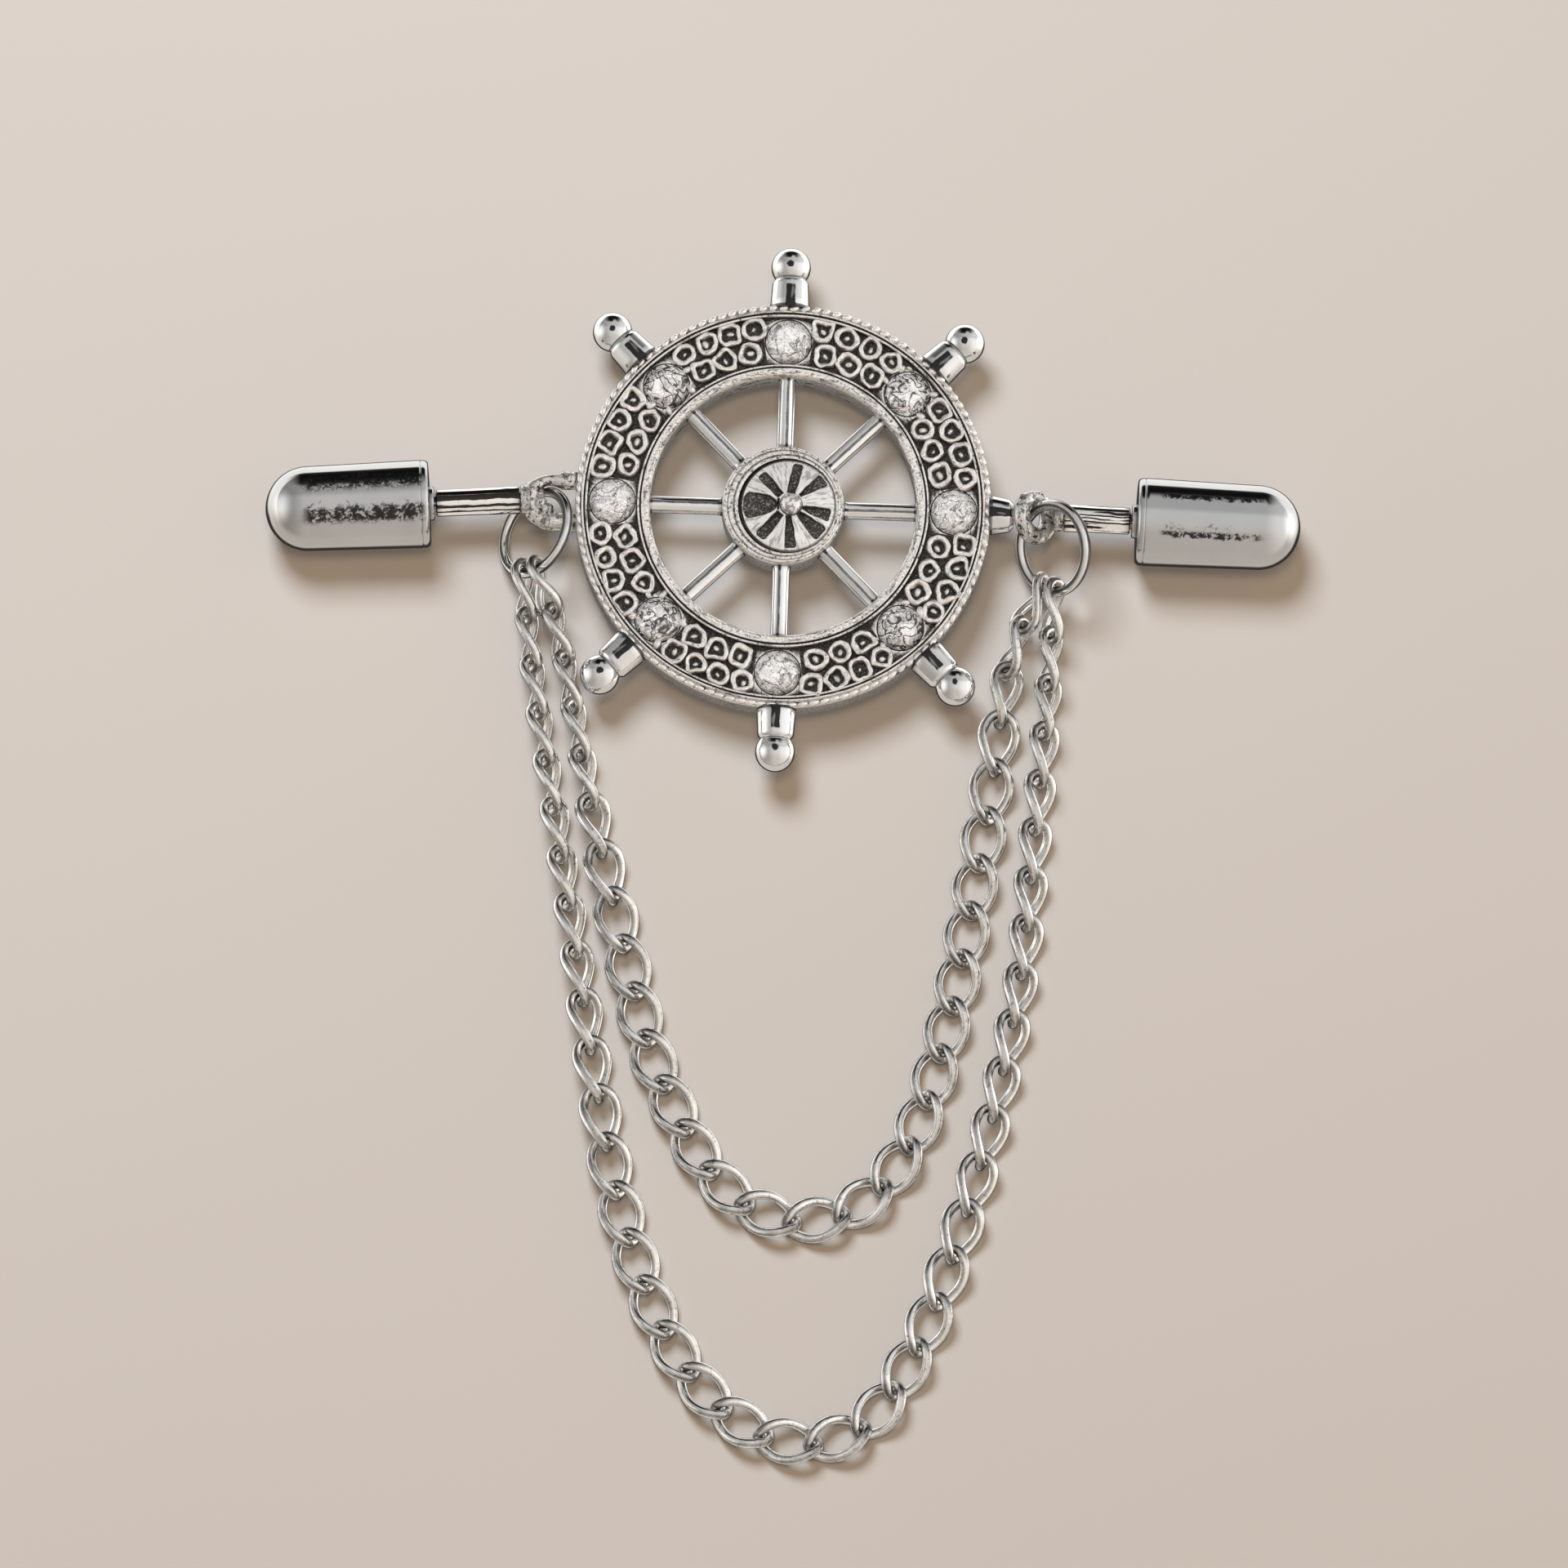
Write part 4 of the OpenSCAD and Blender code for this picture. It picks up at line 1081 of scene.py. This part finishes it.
def buildCap(side):
    stem = pin["stem"][side]
    mouth, end = stem + cap["mouth"], stem + cap["boreDepth"]
    dome = mouth + cap["length"] - cap["tail"]
    radius, tail, bore, collar = cap["radius"], cap["tail"], cap["bore"], cap["collar"]
    face, groove = mouth - cap["collarProud"], mouth + cap["lip"]
    rows = [
        (0.0, end, 0, 1.0), (bore, end, 0, 1.0), (bore, face, 0.02, 1.0),
        (collar - 0.08, face, 0.03, 0.2), (collar, face + 0.08, 0.04, 0.2), (collar, mouth, 0.02, 0.9),
        (radius - 0.16, mouth, 0.06, 0.15), (radius - 0.04, mouth + 0.14, 0.1, 0.0),
        (radius, groove - 0.02, 0.04, 0.0), (radius - 0.03, groove + 0.02, 0.02, 0.35),
        (radius - 0.03, groove + 0.06, 0.02, 0.35), (radius, groove + 0.1, 0.02, 0.0),
    ]
    body = groove + 0.4
    rows += [(radius + (tail - radius) * step / 8, body + (dome - body) * step / 8, 0, 0.0)
             for step in range(8)]
    rows += [(tail * cos(pi * step / 64), dome + tail * sin(pi * step / 64), 0, 0.0)
             for step in range(33)]
    return Shell().addTurned(rows, 128, True, pinPlace[side]).build("cap_" + side + "_shell", 50)


for side in ("left", "right"):
    settle(buildCap(side), capFinish(side), ["cap_" + side], "cap_metal", "cap_" + side)


# Jump rings

def buildJumpRing(side):
    line = [Vector(point) for point in circle(jumpRing["radius"], 0.0, 144)]
    # The rings carry painted dark reflection bands between four bright faces of the wire
    return Shell().addRings(wireRings(line, jumpRing["wire"], 40, True), paintedWireBands(40, 45, 0.6),
                            ringPlace[side], True).build("jump_ring_" + side + "_wire", 180)


for side in ("left", "right"):
    settle(buildJumpRing(side), ringFinish, ["jump_ring_" + side], "ring_metal")


# Chains: route points as chosen for the strands, x, y and lift over the surface in metres,
# and roll in degrees

chain = {"halfLength": 1.93, "halfWidth": 1.2, "wire": 0.25, "thicker": 0.055, "turn": -45.0,
         "pitch": 3.0, "steps": 48, "sides": 16, "samples": 12}
outerRoute = [
    (-0.01528, -0.00861, 0.0001, -88), (-0.01472, -0.012054, 0.00005, -84),
    (-0.01344, -0.018655, 0.00005, -76), (-0.01184, -0.026978, 0.00005, -66),
    (-0.01024, -0.035588, 0.00005, -45), (-0.00864, -0.042763, 0.00012, -10),
    (-0.0064, -0.049077, 0.00005, 0), (-0.00368, -0.053669, 0.00003, 0),
    (-0.00032, -0.056539, 0.00003, 0), (0.00336, -0.0574, 0.00003, 0),
    (0.00688, -0.055965, 0.00003, 0), (0.00976, -0.051373, 0.00006, 10),
    (0.01208, -0.044485, 0.0001, 30), (0.014, -0.036736, 0.00005, 50),
    (0.01536, -0.0287, 0.00005, 58), (0.016, -0.02009, 0.00005, 62),
    (0.01648, -0.012628, 0.00005, 74), (0.01664, -0.008323, 0.00005, 86)]
innerRoute = [
    (-0.01352, -0.0081215, 0.00055, -90), (-0.01248, -0.0125115, 0.0001, -86),
    (-0.01152, -0.0169015, 0.00005, -78), (-0.01016, -0.022389, 0.00008, -40),
    (-0.00864, -0.028096, 0.00016, -4), (-0.00704, -0.0335835, 0.00003, 0),
    (-0.00512, -0.037754, 0.00003, 0), (-0.0032, -0.040827, 0.00003, 0),
    (-0.0008, -0.043022, 0.00003, 0), (0.0024, -0.0439, 0.00003, 0),
    (0.0056, -0.043022, 0.00003, 0), (0.008, -0.0406075, 0.00003, 0),
    (0.00976, -0.0366565, 0.00003, 0), (0.01136, -0.029852, 0.00003, 0),
    (0.01264, -0.021511, 0.00008, 0), (0.01344, -0.015365, 0.00012, 24),
    (0.01392, -0.010975, 0.0001, 62), (0.0144, -0.0081215, 0.0001, 95)]
# Each strand's route, and where on the left and the right jump ring it hangs
strands = {"chain_inner": (innerRoute, -75, -127), "chain_outer": (outerRoute, -102, -100)}


def linkHalf(halfLength, halfWidth, angle, roll=0.0):
    # A point of a link's middle line, an oval that is turned about its length
    tilt = radians(roll + chain["turn"] * cos(angle))
    return Vector((halfLength * cos(angle), halfWidth * sin(angle) * cos(tilt),
                   halfWidth * sin(angle) * sin(tilt)))


def halfHeight(roll):
    rise = max(linkHalf(0.0, chain["halfWidth"], radians(t), roll).z for t in range(0, 360, 10))
    return chain["wire"] + chain["thicker"] * 0.6 + rise


def linkMiddle(row):
    return Vector((row[0], row[1], surfaceHeight + halfHeight(row[3]) + row[2]))


def hungRow(side, at, following):
    # The link that hangs on a jump ring and points at the next row
    before, onRing, after = (
        ringPlace[side] @ Vector((jumpRing["radius"] * cos(radians(at + step)),
                                  jumpRing["radius"] * sin(radians(at + step)), 0))
        for step in (-1, 0, 1))
    wire = after - before
    way = (linkMiddle(following) - onRing).normalized()
    sense = 1 if side == "left" else -1
    across = Vector((0, 0, 1)).cross(way * sense).normalized()
    up = (way * sense).cross(across)
    roll = degrees(atan2(-wire.dot(across), wire.dot(up))) + chain["turn"] * sense
    middle = onRing + way * (chain["halfLength"] - chain["wire"] - jumpRing["wire"] - 0.18)
    return (middle.x, middle.y, middle.z - surfaceHeight - halfHeight(roll), roll)


def smoothRows(rows):
    # Smooth curve through the rows, sampled between each pair
    samples = chain["samples"]
    ends = [[2 * a - b for a, b in zip(rows[k], rows[following])] for k, following in ((0, 1), (-1, -2))]
    rows = [ends[0]] + rows + [ends[1]]
    curve = [rows[1]]
    for k in range(len(rows) - 3):
        for j in range(1, samples + 1):
            s = j / samples
            curve.append([0.5 * (2 * b + (c - a) * s + (2 * a - 5 * b + 4 * c - d) * s * s
                                 + (3 * b - a - 3 * c + d) * s ** 3)
                          for a, b, c, d in zip(*rows[k:k + 4])])
    return curve


def linkShape():
    halfLength = chain["halfLength"] - chain["thicker"] - 0.008
    halfWidth = chain["halfWidth"] - chain["thicker"] - 0.008
    rings = []
    for k in range(chain["steps"]):
        before, middle, after = (linkHalf(halfLength, halfWidth, 2 * pi * k / chain["steps"] + step)
                                 for step in (-0.03, 0, 0.03))
        ahead = (after - before).normalized()
        out = (middle - ahead * middle.dot(ahead)).normalized()
        across = ahead.cross(out)
        rings.append([middle + (out * c + across * s) * (chain["wire"] + chain["thicker"] - 0.004)
                      for c, s in circlePoints(chain["sides"])])
    # The links carry painted dark reflection bands between four bright faces of the wire
    return Shell().addRings(rings, paintedWireBands(chain["sides"]), loop=True).build("link shape", 180)


def strandSpots(route, leftHang, rightHang):
    rows = [(x / mm, y / mm, lift / mm, roll) for x, y, lift, roll in route]
    curve = smoothRows([hungRow("left", leftHang, rows[0])] + rows
                       + [hungRow("right", rightHang, rows[-1])])
    points = [linkMiddle(row) for row in curve]
    marks = [0.0]
    for before, after in zip(points, points[1:]):
        marks.append(marks[-1] + (after - before).length)

    def atLength(values, s):
        for k in range(len(marks) - 1):
            if s <= marks[k + 1]:
                share = (s - marks[k]) / (marks[k + 1] - marks[k])
                return values[k] * (1 - share) + values[k + 1] * share
        return values[-1]

    total = marks[-1]
    count = round(total / chain["pitch"])
    reach = chain["halfLength"] / 2
    spots = []
    for k in range(count + 1):
        s = total * k / count
        way = (atLength(points, min(total, s + reach)) - atLength(points, max(0, s - reach))).normalized()
        side = Vector((0, 0, 1)).cross(way).normalized()
        up = way.cross(side)
        roll = radians(atLength([row[3] for row in curve], s))
        across = side * cos(roll) + up * sin(roll)
        over = up * cos(roll) - side * sin(roll)
        angles = Matrix((way, across, over)).transposed().to_euler()
        spots.append((atLength(points, s), tuple(angles), plainSize))
    return spots


def chainFinish():
    finish = Finish("worn chain silver", {"Metallic": 1.0})
    x, y, z = finish.parts(finish.local)
    own = finish.vector(x + finish.attribute("copy") * 5.7, y, z)
    cloud = finish.grain(own, 1.1, 3.0, 0.6)
    pits = finish.fade(finish.grain(own, 5.5, 4.0, 0.65), 0.33, 0.43)
    # Darker at each link's ends, where it meets the next one
    ends = finish.ramp(x.absolute(), 1.1, 2.0)
    # The dirt and painted shade attribute adds the painted dark reflection bands of the wire
    dark = (ends * 0.35 + (cloud - 0.47) * 0.8 + pits * 0.4 + finish.dirtAndShade * 0.6).clamped()
    colour = finish.blend(dark, (0.99, 0.975, 0.95), (0.11, 0.1, 0.09))
    return finish.done(colour, 0.11 + dark * 0.2, cloud, 0.25, 0.04)


chainMetal = chainFinish()
for name, strand in strands.items():
    setCopies(name + "_links", linkShape(), strandSpots(*strand), chainMetal, (0.02, 0.6, 4.0), 180,
              nodes=[name], slotName="chain_metal")


# Floor: plain, pale and slightly uneven in tone

def buildFloor():
    finish = Finish("pale floor", {"Roughness": 0.85})
    cloud = finish.grain(finish.place, 9.0 * mm, 2.0)
    finish.drive("Base Color", finish.blend(cloud, (0.525, 0.528, 0.528), (0.49, 0.492, 0.488)))
    work = bmesh.new()
    bmesh.ops.create_grid(work, x_segments=8, y_segments=8, size=0.9)
    bmesh.ops.translate(work, verts=work.verts, vec=(0, 0, (surfaceHeight - 0.002) * mm))
    mesh = bpy.data.meshes.new("floor")
    work.to_mesh(mesh)
    work.free()
    mesh.materials.append(finish.material)
    floor = addObject("floor", mesh)
    # The metal mirrors the room's lower half in its place, which keeps its edges dark
    floor.visible_glossy = False


buildFloor()


# Light: a bright room with a dark opening behind for the metal, and two soft lamps for the floor

def buildWorld():
    world = bpy.data.worlds.new("soft studio")
    bpy.context.scene.world = world
    world.use_nodes = True
    nodes = NodeTree(world.node_tree)
    background = nodes.tree.nodes["Background"]
    place = nodes.add("ShaderNodeTexCoord", output=0)
    x, y, z = nodes.parts(place)
    # Over the horizon: grey on the left, white on the right, dark behind, less so on the right
    side = nodes.ramp(x, -0.8, 0.15, 0.5, 0.86) + nodes.ramp(x, 0.2, 0.9, 0.0, 0.36)
    front = nodes.ramp(y, -0.75, -0.2, 0.85, 1.0)
    narrower = nodes.ramp(x, 0.0, 0.04, 0.0, 0.12) * nodes.fade(x, 0.2, 0.4)
    behind = nodes.ramp(y - narrower, 0.7, 0.84) * nodes.ramp(x.absolute(), 0.25, 0.7, 0.985, 0.0)
    upper = side * front * nodes.ramp(y, 0.24, 0.5, 1.0, 0.72)
    # Below it: what the floor gives back, dark straight below
    limit = 0.58 + y.larger(0.0) * 0.2 + (y * -1).larger(0.0) * 0.42
    lit = nodes.fade(z * -1 - limit, 0.0, 0.2)
    lower = nodes.ramp(y, -0.5, 0.45, 0.7, 1.35) * lit + 0.05
    above = nodes.ramp(z, nodes.ramp(y, -0.75, 0.0, -0.4, -0.05), 0.03)
    glow = (upper * above + lower * (1 - above)) * (1 - behind * nodes.ramp(z, -0.24, -0.12))
    # A bright spot for the domed end of either cap
    for spot, reach, power in (((-0.97, 0.0, 0.22), 0.72, 0.9), ((0.97, 0.12, -0.15), 0.6, 1.0)):
        away = nodes.vectorMaths("DISTANCE", place, spot, 1)
        glow = glow + nodes.ramp(away, 0.05, reach, power, 0.0)
    cool = nodes.blend(nodes.ramp(y, -0.7, 0.1), (1.0, 0.92, 0.83), (1.0, 0.99, 0.975))
    warm = nodes.blend(nodes.ramp(y, -0.3, 0.5), (1.0, 0.92, 0.82), (1.0, 0.98, 0.95))
    seen = nodes.blend(above, warm, cool)
    # What reaches matt surfaces has been warmed and weakened by the room
    camera = nodes.add("ShaderNodeLightPath", output="Is Camera Ray")
    diffuse = nodes.add("ShaderNodeLightPath", output="Is Diffuse Ray")
    nodes.feed(background.inputs["Color"], nodes.blend(diffuse, seen, (1.0, 0.67, 0.43)))
    nodes.feed(background.inputs["Strength"], glow * (1 - diffuse * 0.5) * (1 - camera) + camera * 0.75)


def addLamp(name, at, size, power, colour):
    data = bpy.data.lights.new(name, "AREA")
    data.shape = "DISK"
    data.size, data.energy, data.color = size, power, colour
    lamp = addObject(name, data)
    lamp.location = at
    lamp.rotation_euler = (Vector((0, -0.02, 0)) - Vector(at)).to_track_quat("-Z", "Y").to_euler()
    lamp.visible_glossy = False


buildWorld()
addLamp("key light", (-0.12, 0.25, 0.42), 0.22, 2.4, (0.97, 1.0, 1.03))
addLamp("top light", (0.0, -0.03, 0.6), 0.16, 0.8, (1.0, 0.74, 0.51))


# Camera: nearly overhead, from the chain's side, turned a little as in the picture

view = {"elevation": 77.0, "turn": 1.9, "lens": 200.0, "sensor": 36.0, "width": 96.0,
        "aim": 2.2, "wheelAt": (-0.05, 17.1)}


def buildCamera():
    elevation, tilt = radians(view["elevation"]), radians(view["turn"])
    back = Vector((0, -cos(elevation), sin(elevation)))
    plainUp = Vector((0, sin(elevation), cos(elevation)))
    plainRight = Vector((1, 0, 0))
    up = plainUp * cos(tilt) - plainRight * sin(tilt)
    right = plainRight * cos(tilt) + plainUp * sin(tilt)
    target = Vector((0, 0, view["aim"])) - right * view["wheelAt"][0] - up * view["wheelAt"][1]
    data = bpy.data.cameras.new("camera")
    data.lens, data.sensor_width = view["lens"], view["sensor"]
    data.clip_start, data.clip_end = 0.01, 10.0
    camera = addObject("camera", data)
    place = Matrix((right, up, back)).transposed().to_4x4()
    place.translation = (target + back * view["width"] / view["sensor"] * view["lens"]) * mm
    camera.matrix_world = place
    bpy.context.scene.camera = camera
    bpy.context.scene.view_settings.view_transform = "Standard"


buildCamera()
print("camera and light set")
